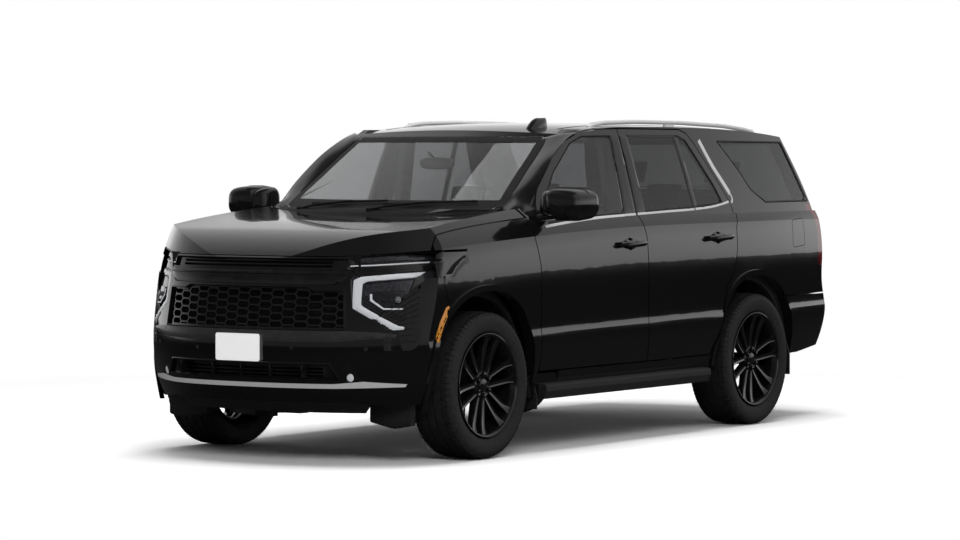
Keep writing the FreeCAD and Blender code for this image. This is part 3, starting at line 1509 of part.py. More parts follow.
def make_rim(centre):
    """A wheel with its barrel, spokes, cap and lug nuts."""
    half = rim_width / 2
    lip = rim_lip_radius
    seat = rim_seat_radius - seat_gap
    wall = rim_wall
    barrel = [(-half, lip), (-half + wall, lip), (-half + 2 * wall, seat),
              (-half * 0.2, seat - barrel_well_drop), (half * 0.5, seat - barrel_slope_drop),
              (half - 2 * wall, seat), (half - wall, lip), (half, lip), (half - wall * 0.4, seat - wall),
              (half * 0.5, seat - barrel_slope_drop - wall),
              (-half * 0.2, seat - barrel_well_drop - wall), (-half + 1.5 * wall, seat - wall)]
    rim = revolve_x(barrel, centre)
    spokes = [spoke_pair(centre, 360 / spoke_count * i) for i in range(spoke_count)]
    face_x = half - wheel_face_inset
    keep_face = [(face_x - spoke_depth * 1.9, 0), (face_x - spoke_depth * 1.45, rim_seat_radius),
                 (face_x, rim_seat_radius), (face_x - spoke_depth * 0.1, hub_radius * 2),
                 (face_x - spoke_depth * 0.62, hub_radius * 0.75), (face_x - spoke_depth * 0.62, 0)]
    keep = revolve_x(keep_face, centre)
    spider = join(spokes).common(keep)
    hub_face = face_x - spoke_depth * 0.62
    back = half_track_back
    hub = Part.makeCylinder(hub_radius, hub_face - back, Vec(centre.x + back, centre.y, centre.z),
                            Vec(1, 0, 0))
    cap = Part.makeCylinder(cap_radius, spoke_depth * 0.35, Vec(centre.x + hub_face, centre.y, centre.z),
                            Vec(1, 0, 0))
    cap = cap.makeFillet(spoke_depth * 0.12, [cap.Edges[0]])
    lugs = []
    for i in range(lug_count):
        angle = 2 * math.pi * i / lug_count
        y = centre.y + lug_circle / 2 * math.sin(angle)
        z = centre.z + lug_circle / 2 * math.cos(angle)
        lugs.append(Part.makeCylinder(lug_radius, spoke_depth * 0.5,
                                      Vec(centre.x + hub_face - overlap, y, z), Vec(1, 0, 0)))
    disc = Part.makeCylinder(disc_radius, disc_thickness, Vec(centre.x + back, centre.y, centre.z),
                             Vec(1, 0, 0))
    bore = Part.makeCylinder(spindle_radius + spindle_clearance, spindle_reach,
                             Vec(centre.x + back, centre.y, centre.z), Vec(1, 0, 0))
    return join([rim, spider, hub, cap] + lugs + [disc]).cut(bore)


wheel_places = {"fl": Vec(half_track, front_axle_y, axle_z), "rl": Vec(half_track, rear_axle_y, axle_z)}


def make_wheels():
    for name, centre in wheel_places.items():
        rim = make_rim(centre)
        tyre = make_tyre(centre).cut(rim)
        save("wheel_" + name, rim)
        save("tyre_" + name, tyre)
        save("wheel_" + name[0] + "r", mirrored(rim))
        save("tyre_" + name[0] + "r", mirrored(tyre))


# Suspension

knuckle_half = 30.0
knuckle_rise = 190.0
spindle_gap = 2.0
caliper_height = 150.0
caliper_depth = 62.0


def make_knuckle():
    """A front knuckle with its spindle, disc and caliper."""
    centre = wheel_places["fl"]
    pin_x = centre.x - kingpin_offset
    post = block(pin_x - knuckle_half, pin_x + knuckle_half * 0.9, centre.y - knuckle_half,
                 centre.y + knuckle_half,
                 centre.z - knuckle_rise, centre.z + knuckle_rise)
    post = post.makeFillet(knuckle_half * 0.3, post.Edges)
    flange = rod(Vec(pin_x, centre.y, centre.z),
                 Vec(centre.x + half_track_back - spindle_gap, centre.y, centre.z), hub_radius * 0.75)
    spindle = rod(Vec(pin_x, centre.y, centre.z),
                  Vec(centre.x + half_track_back + spindle_reach - spindle_gap, centre.y,
                      centre.z), spindle_radius)
    holes = [rod(Vec(pin_x, centre.y, centre.z + s * (knuckle_rise + overlap)),
                 Vec(pin_x, centre.y, centre.z + s * (knuckle_rise - knuckle_half * 1.4)),
                 ball_stud_radius + ball_stud_clearance) for s in (-1, 1)]
    ear = block(pin_x - knuckle_half / 2, centre.x + half_track_back - panel_gap * 1.4, centre.y,
                centre.y + hub_radius + disc_radius * 0.55,
                centre.z - knuckle_half, centre.z + knuckle_half)
    outer = centre.x + half_track_back - panel_gap * 1.4
    inner = outer - caliper_depth / 2
    caliper = block(inner, outer, centre.y + disc_radius * 0.45, centre.y + disc_radius * 0.98,
                    centre.z - caliper_height / 2, centre.z + caliper_height / 2)
    body = join([post, flange, spindle, ear, caliper]).cut(holes)
    save("knuckle_fl", body)
    save("knuckle_fr", mirrored(body))


arm_half_width = 26.0
arm_thickness = 30.0
arm_pivot_spread = 150.0
stud_gap = 3.0


def front_arm(side):
    """A two-legged arm from the frame to the knuckle's upper (1) or lower (-1) end."""
    centre = wheel_places["fl"]
    pin_x = centre.x - kingpin_offset
    end_z = centre.z + side * (knuckle_rise + stud_gap + arm_thickness / 2)
    start_z = end_z + side * -stud_gap
    eye = Part.makeCylinder(knuckle_half, arm_thickness, Vec(pin_x, centre.y, end_z - arm_thickness / 2),
                            Vec(0, 0, 1))
    stud_end = Vec(pin_x, centre.y, centre.z + side * (knuckle_rise - knuckle_half))
    stud = rod(Vec(pin_x, centre.y, end_z), stud_end, ball_stud_radius)
    legs = []
    for turn in (-1, 1):
        a = (pin_x, centre.y)
        b = (rail_outer_side - overlap, centre.y + turn * arm_pivot_spread)
        run = math.hypot(b[0] - a[0], b[1] - a[1])
        nx, ny = -(b[1] - a[1]) / run * arm_half_width, (b[0] - a[0]) / run * arm_half_width
        outline = [(a[0] + nx, a[1] + ny), (b[0] + nx, b[1] + ny), (b[0] - nx, b[1] - ny),
                   (a[0] - nx, a[1] - ny)]
        legs.append(across_z(outline, end_z - arm_thickness / 2, end_z + arm_thickness / 2))
    arm = join([eye, stud] + legs).cut(block(0, rail_outer_side + seat_gap, skin_front, skin_rear, 0, tall))
    return arm


def make_suspension(frame):
    """Front arms and towers, rear axle and its arms."""
    lower = front_arm(-1)
    upper = front_arm(1)
    towers = []
    for turn in (-1, 1):
        y = front_axle_y + turn * arm_pivot_spread
        z = axle_z - knuckle_rise - stud_gap - arm_thickness
        towers.append(block(rail_inner_side, rail_outer_side + arm_half_width, y - arm_half_width * 1.5,
                            y + arm_half_width * 1.5, z, frame_low_front))
        towers.append(block(rail_outer_side + seat_gap, rail_outer_side + 2 * arm_half_width,
                            y - arm_half_width * 1.5, y + arm_half_width * 1.5,
                            frame_low_front - arm_thickness,
                            axle_z + knuckle_rise + stud_gap + arm_thickness))
    front = join([lower, upper] + towers)
    centre = wheel_places["rl"]
    tube_end = centre.x + half_track_back - spindle_gap
    tube = rod(Vec(0, centre.y, centre.z), Vec(tube_end, centre.y, centre.z), spindle_radius * 1.35)
    spindle = rod(Vec(tube_end - overlap, centre.y, centre.z),
                  Vec(centre.x + half_track_back + spindle_reach - spindle_gap, centre.y,
                      centre.z), spindle_radius)
    nose = Part.makeSphere(hub_radius * 1.5, Vec(0, centre.y, centre.z))
    caliper = block(tube_end - caliper_depth / 2 - panel_gap, tube_end - panel_gap,
                    centre.y + disc_radius * 0.45, centre.y + disc_radius * 0.98,
                    centre.z - caliper_height / 2, centre.z + caliper_height / 2)
    bracket = block(tube_end - caliper_depth / 2 - panel_gap, tube_end - panel_gap, centre.y,
                    centre.y + disc_radius * 0.6, centre.z - knuckle_half, centre.z + knuckle_half)
    arm = across_x([(centre.y + knuckle_half, centre.z - knuckle_half),
                    (centre.y + knuckle_half, centre.z + knuckle_half), (centre.y - rear_arm_length,
                                                                         up(0.238)),
                    (centre.y - rear_arm_length,
                     up(0.2118))], rear_arm_x - arm_half_width, rear_arm_x + arm_half_width)
    perch = block(rail_inner_side + panel_gap, rail_outer_side - panel_gap, centre.y - arm_half_width * 2,
                  centre.y + arm_half_width * 2, centre.z, rear_rail_low_z)
    side = join([tube, spindle, caliper, bracket, arm, perch])
    rear = join([nose, side, mirrored(side)])
    solids = [largest(s.cut(frame)) for s in (front, mirrored(front), rear)]
    save("suspension", Part.makeCompound(solids))


# Engine, exhaust, tank

engine_shares = [
    (-0.4473, 0.272), (-0.4473, 0.591), (0.0619, 0.591), (0.0619, 0.272),
]
engine_half = out(0.2816)
gearbox_front_radius = 120.0
gearbox_rear_radius = 85.0
gearbox_z = up(0.285)
gearbox_end_y = along(0.407)
shaft_radius = 22.0
shaft_z = up(0.2929)
mount_shares = [
    (-0.1789, 0.2667), (-0.1789, 0.3033), (-0.0994, 0.3033), (-0.0994, 0.2667),
]
radiator_shares = [
    (-0.7853, 0.3086), (-0.7853, 0.5492), (-0.7256, 0.5492), (-0.7256, 0.3086),
]


def make_engine(frame):
    """Engine and gearbox as plain blocks, the shaft to the rear axle and the radiator."""
    outline = places(engine_shares, along, up)
    body = across_x(outline, -engine_half, engine_half)
    rear_y = max(p[0] for p in outline)
    length = gearbox_end_y - rear_y
    gearbox = Part.makeCone(gearbox_front_radius, gearbox_rear_radius, length, Vec(0, rear_y, gearbox_z),
                            Vec(0, 1, 0))
    shaft_end = Vec(0, rear_axle_y - hub_radius * 1.5 - 2 * seat_gap, axle_z)
    shaft = rod(Vec(0, gearbox_end_y - shaft_radius, shaft_z), shaft_end, shaft_radius)
    mounts = across_x(places(mount_shares, along, up), -rail_inner_side, rail_inner_side)
    engine = join([body, gearbox, shaft, mounts]).cut(frame)
    half = rail_inner_side - panel_gap
    radiator = across_x(places(radiator_shares, along, up), -half, half).cut(frame)
    save("engine_block", Part.makeCompound([engine, radiator]))
    return engine


exhaust_radius = 34.0
silencer_radius = 72.0
exhaust_shares = [
    (0.0554, 0.2929), (0.0879, 0.2615), (0.1205, 0.16), (0.7717, 0.16), (0.8759, 0.2615),
]
exhaust_x = out(-0.2589)
silencer_from_y = along(0.5959)
silencer_to_y = along(0.7489)


def make_exhaust(neighbours):
    """A pipe from the engine with its silencer below the cross member."""
    spots = [Vec(exhaust_x, y, z) for y, z in places(exhaust_shares, along, up)]
    parts = [rod(spots[i], spots[i + 1], exhaust_radius) for i in range(len(spots) - 1)]
    parts += [Part.makeSphere(exhaust_radius, spot) for spot in spots[1:-1]]
    start = Vec(exhaust_x, silencer_from_y, spots[2].z)
    parts.append(Part.makeCylinder(silencer_radius, silencer_to_y - silencer_from_y, start, Vec(0, 1, 0)))
    save("exhaust", largest(join(parts).cut(neighbours)))


tank_shares = [
    (0.0692, 0.1543), (0.0692, 0.1998), (0.3903, 0.1998), (0.3903, 0.1543),
]
tank_from_y = along(0.4852)
tank_to_y = along(0.8369)
tank_radius = 14.0


def make_tank(frame):
    tank = across_y(places(tank_shares, out, up), tank_from_y, tank_to_y, tank_radius)
    save("fuel_tank", tank.cut(frame))


# Cabin

seat_width = 510.0
seat_depth = 500.0
cushion_thickness = 130.0
back_height = 600.0
back_thickness = 120.0
headrest_width = 270.0
headrest_height = 165.0
headrest_thickness = 95.0
post_radius = 8.0
seat_fillet = 34.0
back_lean = 20.0


def seat(x, y, floor_z, cushion_z, width, heads=(0,)):
    """A seat that stands on its riser, with its back and head rests; y is the cushion's rear."""
    cushion = block(x - width / 2, x + width / 2, y - seat_depth, y + back_thickness * 0.4,
                    cushion_z - cushion_thickness, cushion_z)
    cushion = cushion.makeFillet(seat_fillet, cushion.Edges)
    back = block(x - width / 2, x + width / 2, y, y + back_thickness, cushion_z - cushion_thickness / 2,
                 cushion_z + back_height)
    back = back.makeFillet(seat_fillet, back.Edges)
    riser = block(x - width * 0.38, x + width * 0.38, y - seat_depth * 0.8, y - seat_depth * 0.4,
                  floor_z + seat_gap, cushion_z - cushion_thickness / 2)
    parts = [back]
    for offset in heads:
        low = cushion_z + back_height + headrest_thickness * 0.45
        rest = block(x + offset - headrest_width / 2, x + offset + headrest_width / 2,
                     y + back_thickness * 0.1, y + back_thickness * 0.1 + headrest_thickness,
                     low, low + headrest_height)
        parts.append(rest.makeFillet(seat_fillet, rest.Edges))
        for side in (-1, 1):
            px = x + offset + side * headrest_width / 4
            py = y + back_thickness / 2
            parts.append(rod(Vec(px, py, low - headrest_thickness),
                             Vec(px, py, low + headrest_thickness / 2), post_radius))
    upper = join(parts)
    upper.rotate(Vec(x, y, cushion_z - cushion_thickness / 2), Vec(1, 0, 0), -back_lean)
    return join([cushion, upper, riser])


def make_seats(floor):
    """Front seats and the two rear benches."""
    front = seat(out(0.3804), along(0.5015), floor_top_z, up(0.4393), seat_width)
    save("front_seats", Part.makeCompound([front, mirrored(front)]))
    second = seat(0, along(0.8173), floor_top_z, up(0.4446), seat_width * 2.7,
                  (-seat_width * 0.9, 0, seat_width * 0.9))
    third = seat(0, along(1.2894), up(0.4027), up(0.5178), seat_width * 2.2,
                 (-seat_width * 0.7, seat_width * 0.7))
    save("rear_seats", Part.makeCompound([second.cut(floor), third]))


dash_shares = [
    (0.1449, 0.4707), (0.1449, 0.6773), (0.1856, 0.6982), (0.2507, 0.6914), (0.2866, 0.6642),
    (0.3012, 0.6172), (0.2931, 0.5649), (0.2638, 0.5021), (0.241, 0.4498), (0.1856, 0.4184),
]
console_shares = [
    (0.2507, 0.3661), (0.2572, 0.523), (0.2963, 0.5544), (0.3419, 0.4498), (0.4852, 0.4498),
    (0.495, 0.4184), (0.495, 0.3661),
]
wheel_rim_radius = 186.0
wheel_tube_radius = 15.0
column_tilt = 24.0
column_radius = 26.0
steer_x = out(-0.3804)
steer_y = along(0.3419)
steer_z = up(0.5858)
steer_running_gap = 0.3


def make_dashboard():
    """Dashboard, console and steering column."""
    body = across_x(places(dash_shares, along, up), -out(0.7263), out(0.7263), seat_fillet)
    console = across_x(places(console_shares, along, up), -out(0.1038), out(0.1038), seat_fillet / 2)
    console = console.cut(block(-wide, wide, skin_front, skin_rear, 0, up(0.3661) + seat_gap))
    hood = block(steer_x - seat_width * 0.36, steer_x + seat_width * 0.36, along(0.241), along(0.2833),
                 up(0.6538), up(0.7071))
    hood = hood.makeFillet(seat_fillet, hood.Edges)
    lean = Vec(0, math.cos(math.radians(column_tilt)), math.sin(math.radians(column_tilt)))
    centre = Vec(steer_x, steer_y, steer_z)
    column = rod(centre - lean * (wheel_rim_radius * 1.5),
                 centre - lean * (wheel_tube_radius * 2 + steer_running_gap), column_radius)
    save("dashboard", join([body, console, hood, column]))


def make_steering_wheel():
    """The steering wheel with its hub and spokes."""
    centre = Vec(0, 0, 0)
    rim = Part.makeTorus(wheel_rim_radius, wheel_tube_radius)
    hub = Part.makeCylinder(wheel_rim_radius * 0.36, wheel_tube_radius * 3,
                            Vec(0, 0, -wheel_tube_radius * 2))
    hub = hub.makeFillet(wheel_tube_radius * 0.8, hub.Edges)
    spokes = [block(-wheel_rim_radius, wheel_rim_radius, -wheel_tube_radius, wheel_tube_radius,
                    -wheel_tube_radius, wheel_tube_radius * 0.4),
              block(-wheel_tube_radius * 1.4, wheel_tube_radius * 1.4, -wheel_rim_radius, 0,
                    -wheel_tube_radius, wheel_tube_radius * 0.4)]
    trim = [s.common(Part.makeCylinder(wheel_rim_radius, 4 * wheel_tube_radius,
                                       Vec(0, 0, -2 * wheel_tube_radius))) for s in spokes]
    wheel = join([rim, hub] + trim)
    wheel.rotate(Vec(0, 0, 0), Vec(1, 0, 0), column_tilt - 90)
    wheel.translate(Vec(steer_x, steer_y, steer_z))
    save("steering_wheel", wheel)


make_hood()
bumper_front = make_bumper()
make_grille()
make_headlamps()
make_front_trim()
left_fender = make_fender()
make_doors()
left_side = make_body_sides(left_fender)
make_roof()
make_fixed_glass()
make_liftgate()
make_tail_lamps()
frame = make_frame()
make_air_dam([bumper_front, frame])
bumper_rear = make_rear_bumper(frame)
make_roof_fittings()
make_running_boards([left_side, frame])
cowl = make_cowl(mirrored_pair(left_side) + mirrored_pair(left_fender))
floor = make_floor(frame, cowl)
make_liners([left_side, left_fender, bumper_rear, floor, frame])
make_wheels()
make_knuckle()
make_suspension(frame)
engine = make_engine(frame)
make_exhaust([frame, engine])
make_tank(frame)
make_seats(floor)
make_dashboard()
make_steering_wheel()
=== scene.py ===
import math

import bmesh
import bpy
import numpy
from bpy.props import FloatProperty, FloatVectorProperty, IntProperty, PointerProperty
from mathutils import Matrix, Vector
from mathutils.bvhtree import BVHTree


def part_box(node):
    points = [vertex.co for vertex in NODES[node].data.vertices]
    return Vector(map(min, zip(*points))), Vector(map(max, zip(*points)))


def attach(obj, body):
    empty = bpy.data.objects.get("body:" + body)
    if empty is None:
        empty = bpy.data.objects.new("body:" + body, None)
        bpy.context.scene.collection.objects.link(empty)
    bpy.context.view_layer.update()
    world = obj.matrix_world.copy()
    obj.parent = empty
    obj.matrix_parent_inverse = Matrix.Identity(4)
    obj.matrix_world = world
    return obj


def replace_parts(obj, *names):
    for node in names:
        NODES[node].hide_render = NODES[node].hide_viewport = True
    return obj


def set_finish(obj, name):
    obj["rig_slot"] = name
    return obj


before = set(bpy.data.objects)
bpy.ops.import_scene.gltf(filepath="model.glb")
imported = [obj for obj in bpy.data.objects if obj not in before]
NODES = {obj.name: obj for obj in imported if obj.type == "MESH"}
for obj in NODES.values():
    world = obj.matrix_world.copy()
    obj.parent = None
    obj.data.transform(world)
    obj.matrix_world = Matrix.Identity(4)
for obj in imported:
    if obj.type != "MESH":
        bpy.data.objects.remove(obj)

bl_info = {
    "name": "Suv looks",
    "version": (1, 0, 0),
    "blender": (4, 5, 0),
    "location": "View3D > Sidebar > Suv",
    "description": "Paint, lamps, trim, tyres and seats of a full-size suv round its CAD frame",
    "category": "Object",
}


# Shape helpers


def linked(name, data):
    """A new object in the scene."""
    item = bpy.data.objects.new(name, data)
    bpy.context.scene.collection.objects.link(item)
    return item


def placed(name, mesh, body, slot=None):
    """Put a mesh in the scene as a piece that rides on a body, with its slot if it has one."""
    piece = linked(name, mesh)
    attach(piece, body)
    if slot:
        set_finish(piece, slot)
    return piece


def mesh_piece(name, verts, faces, finish, body="root", sharp=35.0):
    mesh = bpy.data.meshes.new(name)
    mesh.from_pydata([tuple(v) for v in verts], [], faces)
    mesh.validate()
    return finished(name, mesh, finish, body, sharp)


def finished(name, mesh, finish, body="root", sharp=35.0):
    """Close up a mesh: faces turned outwards, and shaded smoothly but for its sharp edges."""
    model = bmesh.new()
    model.from_mesh(mesh)
    bmesh.ops.remove_doubles(model, verts=model.verts, dist=1e-6)
    bmesh.ops.recalc_face_normals(model, faces=model.faces)
    model.to_mesh(mesh)
    model.free()
    mesh.shade_smooth()
    mesh.set_sharp_from_angle(angle=math.radians(sharp))
    mesh.materials.append(FINISHES[finish])
    return placed(name, mesh, body, SLOTS[finish])


def bmesh_piece(name, model, finish, body="root", sharp=35.0):
    mesh = bpy.data.meshes.new(name)
    model.to_mesh(mesh)
    model.free()
    return finished(name, mesh, finish, body, sharp)


def mesh_copy(piece, name, mirror=False):
    """A copy of a piece's mesh, mirrored to the vehicle's other side if asked."""
    mesh = piece.data.copy()
    mesh.name = name
    if mirror:
        mesh.transform(Matrix.Diagonal((-1, 1, 1, 1)))
        mesh.flip_normals()
    return mesh


def mirrored(piece, name, body):
    """The same piece on the vehicle's other side."""
    return placed(name, mesh_copy(piece, name, True), body, piece.get("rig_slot"))


def joined(name, pieces, body="root"):
    """Make one piece of several that share a finish."""
    model = bmesh.new()
    for piece in pieces:
        model.from_mesh(piece.data)
    mesh = mesh_copy(pieces[0], name)
    model.to_mesh(mesh)
    model.free()
    whole = placed(name, mesh, body, pieces[0].get("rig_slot"))
    for piece in pieces:
        old = piece.data
        bpy.data.objects.remove(piece)
        bpy.data.meshes.remove(old)
    return whole


def surface(*names):
    """A search tree over the surfaces of some CAD nodes."""
    model = bmesh.new()
    for name in names:
        model.from_mesh(NODES[name].data)
    tree = BVHTree.FromBMesh(model)
    model.free()
    return tree


VIEWS = {
    "left": (lambda a, b: Vector((2.0, a, b)), Vector((-1, 0, 0))),
    "front": (lambda a, b: Vector((a, -4.0, b)), Vector((0, 1, 0))),
    "rear": (lambda a, b: Vector((a, 4.0, b)), Vector((0, -1, 0))),
    "top": (lambda a, b: Vector((a, b, 3.0)), Vector((0, 0, -1))),
}


def cast(tree, view, a, b):
    """Where a surface is first met under a point of a view, or None."""
    start, way = VIEWS[view][0](a, b), VIEWS[view][1]
    return tree.ray_cast(start, way)[0]


def spot(tree, view, a, b):
    """The place and outward normal of a surface under a point of a view."""
    start, way = VIEWS[view][0](a, b), VIEWS[view][1]
    place, normal = tree.ray_cast(start, way)[:2]
    if place is None:
        place, normal = tree.find_nearest(start + way * 1.5)[:2]
    return place, -normal if normal.dot(way) > 0 else normal


RIM_STEPS = 260
SCREEN_END = -0.3


def rim_place(tree, a, b, step_a, step_b):
    """The screen's rim in the front view, come to from outside in steps."""
    for _ in range(RIM_STEPS):
        place = cast(tree, "front", a, b)
        if place is not None and place.y < SCREEN_END:
            return place
        a, b = a + step_a, b + step_b
    raise ValueError("no rim found")


FINE_PARTS = 16


def smooth_line(points, step):
    """Even points on a smooth line through the given ones, in two or three dimensions."""
    pts = [Vector(p) for p in points]
    last = len(pts) - 1
    fine = []
    for i in range(last):
        p0, p1, p2, p3 = pts[max(i - 1, 0)], pts[i], pts[i + 1], pts[min(i + 2, last)]
        for k in range(FINE_PARTS):
            t = k / FINE_PARTS
            fine.append(0.5 * (2 * p1 + (p2 - p0) * t + (2 * p0 - 5 * p1 + 4 * p2 - p3) * t * t
                               + (3 * p1 - p0 - 3 * p2 + p3) * t ** 3))
    return even_line(fine + [pts[-1]], step)


def even_line(points, step):
    """Points a step apart along straight runs, ends kept."""
    pts = [Vector(p) for p in points]
    lengths = [0.0]
    for a, b in zip(pts, pts[1:]):
        lengths.append(lengths[-1] + (b - a).length)
    count = max(1, round(lengths[-1] / step))
    out, i = [], 0
    for k in range(count + 1):
        target = lengths[-1] * k / count
        while i < len(pts) - 2 and lengths[i + 1] < target:
            i += 1
        span = lengths[i + 1] - lengths[i]
        out.append(pts[i].lerp(pts[i + 1], (target - lengths[i]) / span if span else 0))
    return out


def ring_faces(rings, sides, first=0):
    """The faces between rings of vertices that follow each other."""
    faces = []
    for i in range(rings - 1):
        for k in range(sides):
            a, b = first + i * sides + k, first + i * sides + (k + 1) % sides
            faces.append((a, b, b + sides, a + sides))
    return faces


def end_faces(rings, sides, first=0):
    last = first + (rings - 1) * sides
    return [tuple(range(first, first + sides)), tuple(range(last, last + sides))]


def loft(name, rings, finish, body="root", sharp=40.0, ends=True):
    """A skin through rings of points, with its ends shut or left open."""
    sides, verts = len(rings[0]), [p for ring in rings for p in ring]
    faces = ring_faces(len(rings), sides)
    if ends:
        faces += end_faces(len(rings), sides)
    return mesh_piece(name, verts, faces, finish, body, sharp)


def band(name, points, width, rise, view, tree, finish, body="root", sink=0.003, step=0.012, bevel=0.35,
         smooth=True):
    """A raised strip along a line drawn on a surface in one view."""
    line = smooth_line(points, step) if smooth else even_line(points, step)
    flat = 0.5 - bevel * 0.4
    section = ((-0.5, -sink), (-0.5, rise * (1 - bevel)), (-flat, rise), (flat, rise),
               (0.5, rise * (1 - bevel)), (0.5, -sink))
    rings = []
    for i, here in enumerate(line):
        ahead = line[min(i + 1, len(line) - 1)] - line[max(i - 1, 0)]
        across = Vector((-ahead.y, ahead.x)).normalized()
        normal = spot(tree, view, here.x, here.y)[1]
        rings.append([spot(tree, view, *(here + across * width * share))[0] + normal * lift
                      for share, lift in section])
    return loft(name, rings, finish, body, 50)


def patch(name, outline, view, tree, finish, body="root", lift=0.002, sink=0.002, cell=0.02, sharp=40.0,
          edge=0.0):
    """A thin cover that follows a surface, with its outline drawn in one view."""
    model = bmesh.new()
    model.faces.new([model.verts.new((p[0], p[1], 0)) for p in outline])
    for axis in (0, 1):
        low, high = min(p[axis] for p in outline), max(p[axis] for p in outline)
        for k in range(1, max(1, math.ceil((high - low) / cell))):
            plane = [0, 0, 0]
            plane[axis] = low + k * cell
            way = [0, 0, 0]
            way[axis] = 1
            everything = model.verts[:] + model.edges[:] + model.faces[:]
            bmesh.ops.bisect_plane(model, geom=everything, dist=1e-7, plane_co=plane, plane_no=way)
    rims = [e for e in model.edges if e.is_boundary]
    rim_verts = {v for e in rims for v in e.verts}
    places = {v: spot(tree, view, v.co.x, v.co.y) for v in model.verts}
    under = {v: model.verts.new(places[v][0] - places[v][1] * sink) for v in rim_verts}
    for v, (place, normal) in places.items():
        v.co = place + normal * (lift - (edge if v in rim_verts else 0))
    for e in rims:
        a, b = e.verts
        model.faces.new((a, b, under[b], under[a]))
    return bmesh_piece(name, model, finish, body, sharp)


def rounded(points, radius, steps=5):
    """An outline with its corners rounded."""
    pts = [Vector(p) for p in points]
    out = []
    for i, here in enumerate(pts):
        back, ahead = pts[i - 1] - here, pts[(i + 1) % len(pts)] - here
        cut = min(radius, back.length * 0.48, ahead.length * 0.48)
        a, b = here + back.normalized() * cut, here + ahead.normalized() * cut
        for k in range(steps + 1):
            t = k / steps
            out.append((1 - t) ** 2 * a + 2 * t * (1 - t) * here + t * t * b)
    return out


def frames_along(path):
    """Two directions across a path at each of its points, without twist."""
    side = None
    out = []
    for i, here in enumerate(path):
        way = (path[min(i + 1, len(path) - 1)] - path[max(i - 1, 0)]).normalized()
        if side is None:
            side = way.orthogonal().normalized()
        side = (side - way * side.dot(way)).normalized()
        out.append((side, way.cross(side)))
    return out


def circle(centre, u, v, radius, sides):
    turns = [2 * math.pi * k / sides for k in range(sides)]
    return [centre + (u * math.cos(turn) + v * math.sin(turn)) * radius for turn in turns]


def tube(name, path, radius, finish, body="root", sides=12, sharp=45.0):
    """A round bar along a path."""
    path = [Vector(p) for p in path]
    rings = [circle(here, u, v, radius, sides) for (u, v), here in zip(frames_along(path), path)]
    return loft(name, rings, finish, body, sharp)


def turned(name, profile, centre, axis, finish, body="root", sides=48, sharp=35.0):
    """A piece turned about an axis; the profile gives (place along the axis, radius)."""
    axis = Vector(axis).normalized()
    u = axis.orthogonal().normalized()
    v = axis.cross(u)
    rings = [circle(Vector(centre) + axis * along, u, v, max(radius, 1e-5), sides)
             for along, radius in profile]
    return loft(name, rings, finish, body, sharp, ends=False)


def oval(half_a, half_b, power=4.0, count=40):
    """Points round a rounded rectangle; a higher power gives squarer corners."""
    out = []
    for k in range(count):
        turn = 2 * math.pi * k / count
        c, s = math.cos(turn), math.sin(turn)
        out.append((half_a * math.copysign(abs(c) ** (2 / power), c),
                    half_b * math.copysign(abs(s) ** (2 / power), s)))
    return out


SKIN_STEP, SKIN_ROUNDS, SKIN_CELLS, SKIN_EDGE = 0.01, 6, 59, 0.02


def fitted_skin(tree, low, high):
    """A smooth surface through the panels round an opening, as a search tree for the front view."""
    spots = []
    for i in range(round((high[0] - low[0]) / SKIN_STEP) + 1):
        for k in range(round((high[1] - low[1]) / SKIN_STEP) + 1):
            a, b = low[0] + i * SKIN_STEP, low[1] + k * SKIN_STEP
            hit = cast(tree, "front", a, b)
            if hit is not None:
                spots.append((a, b, hit.y))
    data = numpy.array(spots)
    middle = ((low[0] + high[0]) / 2, (low[1] + high[1]) / 2)

    def terms(a, b):
        a, b = (a - middle[0]) * 4, (b - middle[1]) * 4
        return numpy.stack([a ** i * b ** j for i in range(5) for j in range(3) if i + j < 5], axis=-1)

    keep = numpy.ones(len(data), dtype=bool)
    for turn in range(SKIN_ROUNDS):
        factors = numpy.linalg.lstsq(terms(data[keep, 0], data[keep, 1]), data[keep, 2], rcond=None)[0]
        error = data[:, 2] - terms(data[:, 0], data[:, 1]) @ factors
        keep = numpy.abs(error) < max(0.004, 0.03 * 0.5 ** turn)
    model = bmesh.new()
    columns, rows = (numpy.linspace(a - SKIN_EDGE, b + SKIN_EDGE, SKIN_CELLS + 1) for a, b in zip(low, high))
    grid = [[model.verts.new((a, float(terms(a, b) @ factors), b)) for b in rows] for a in columns]
    for i in range(SKIN_CELLS):
        for k in range(SKIN_CELLS):
            model.faces.new((grid[i][k], grid[i + 1][k], grid[i + 1][k + 1], grid[i][k + 1]))
    model.normal_update()
    skin = BVHTree.FromBMesh(model)
    model.free()
    return skin


# Shader helpers


def set_sockets(shader, **values):
    for label, value in values.items():
        shader.inputs[label.replace("_", " ")].default_value = value


def add_node(tree, kind, **values):
    """A new shader node with some of its inputs set."""
    node = tree.nodes.new("ShaderNode" + kind)
    set_sockets(node, **values)
    return node


def wire(tree, *links):
    """Link nodes; a link is (node, output, node, input)."""
    for start, out, end, into in links:
        tree.links.new(start.outputs[out], end.inputs[into])


def new_material(name):
    """An empty node material with its Principled shader and output."""
    material = bpy.data.materials.new(name)
    material.use_nodes = True
    tree = material.node_tree
    tree.nodes.clear()
    output, shader = add_node(tree, "OutputMaterial"), add_node(tree, "BsdfPrincipled")
    wire(tree, (shader, "BSDF", output, "Surface"))
    return material, tree, shader


def noise(tree, scale, detail=3.0):
    """Noise that sits in the object's own space, so it keeps its scale on every piece."""
    place, texture = add_node(tree, "TexCoord"), add_node(tree, "TexNoise", Scale=scale, Detail=detail)
    wire(tree, (place, "Object", texture, "Vector"))
    return texture.outputs["Fac"]


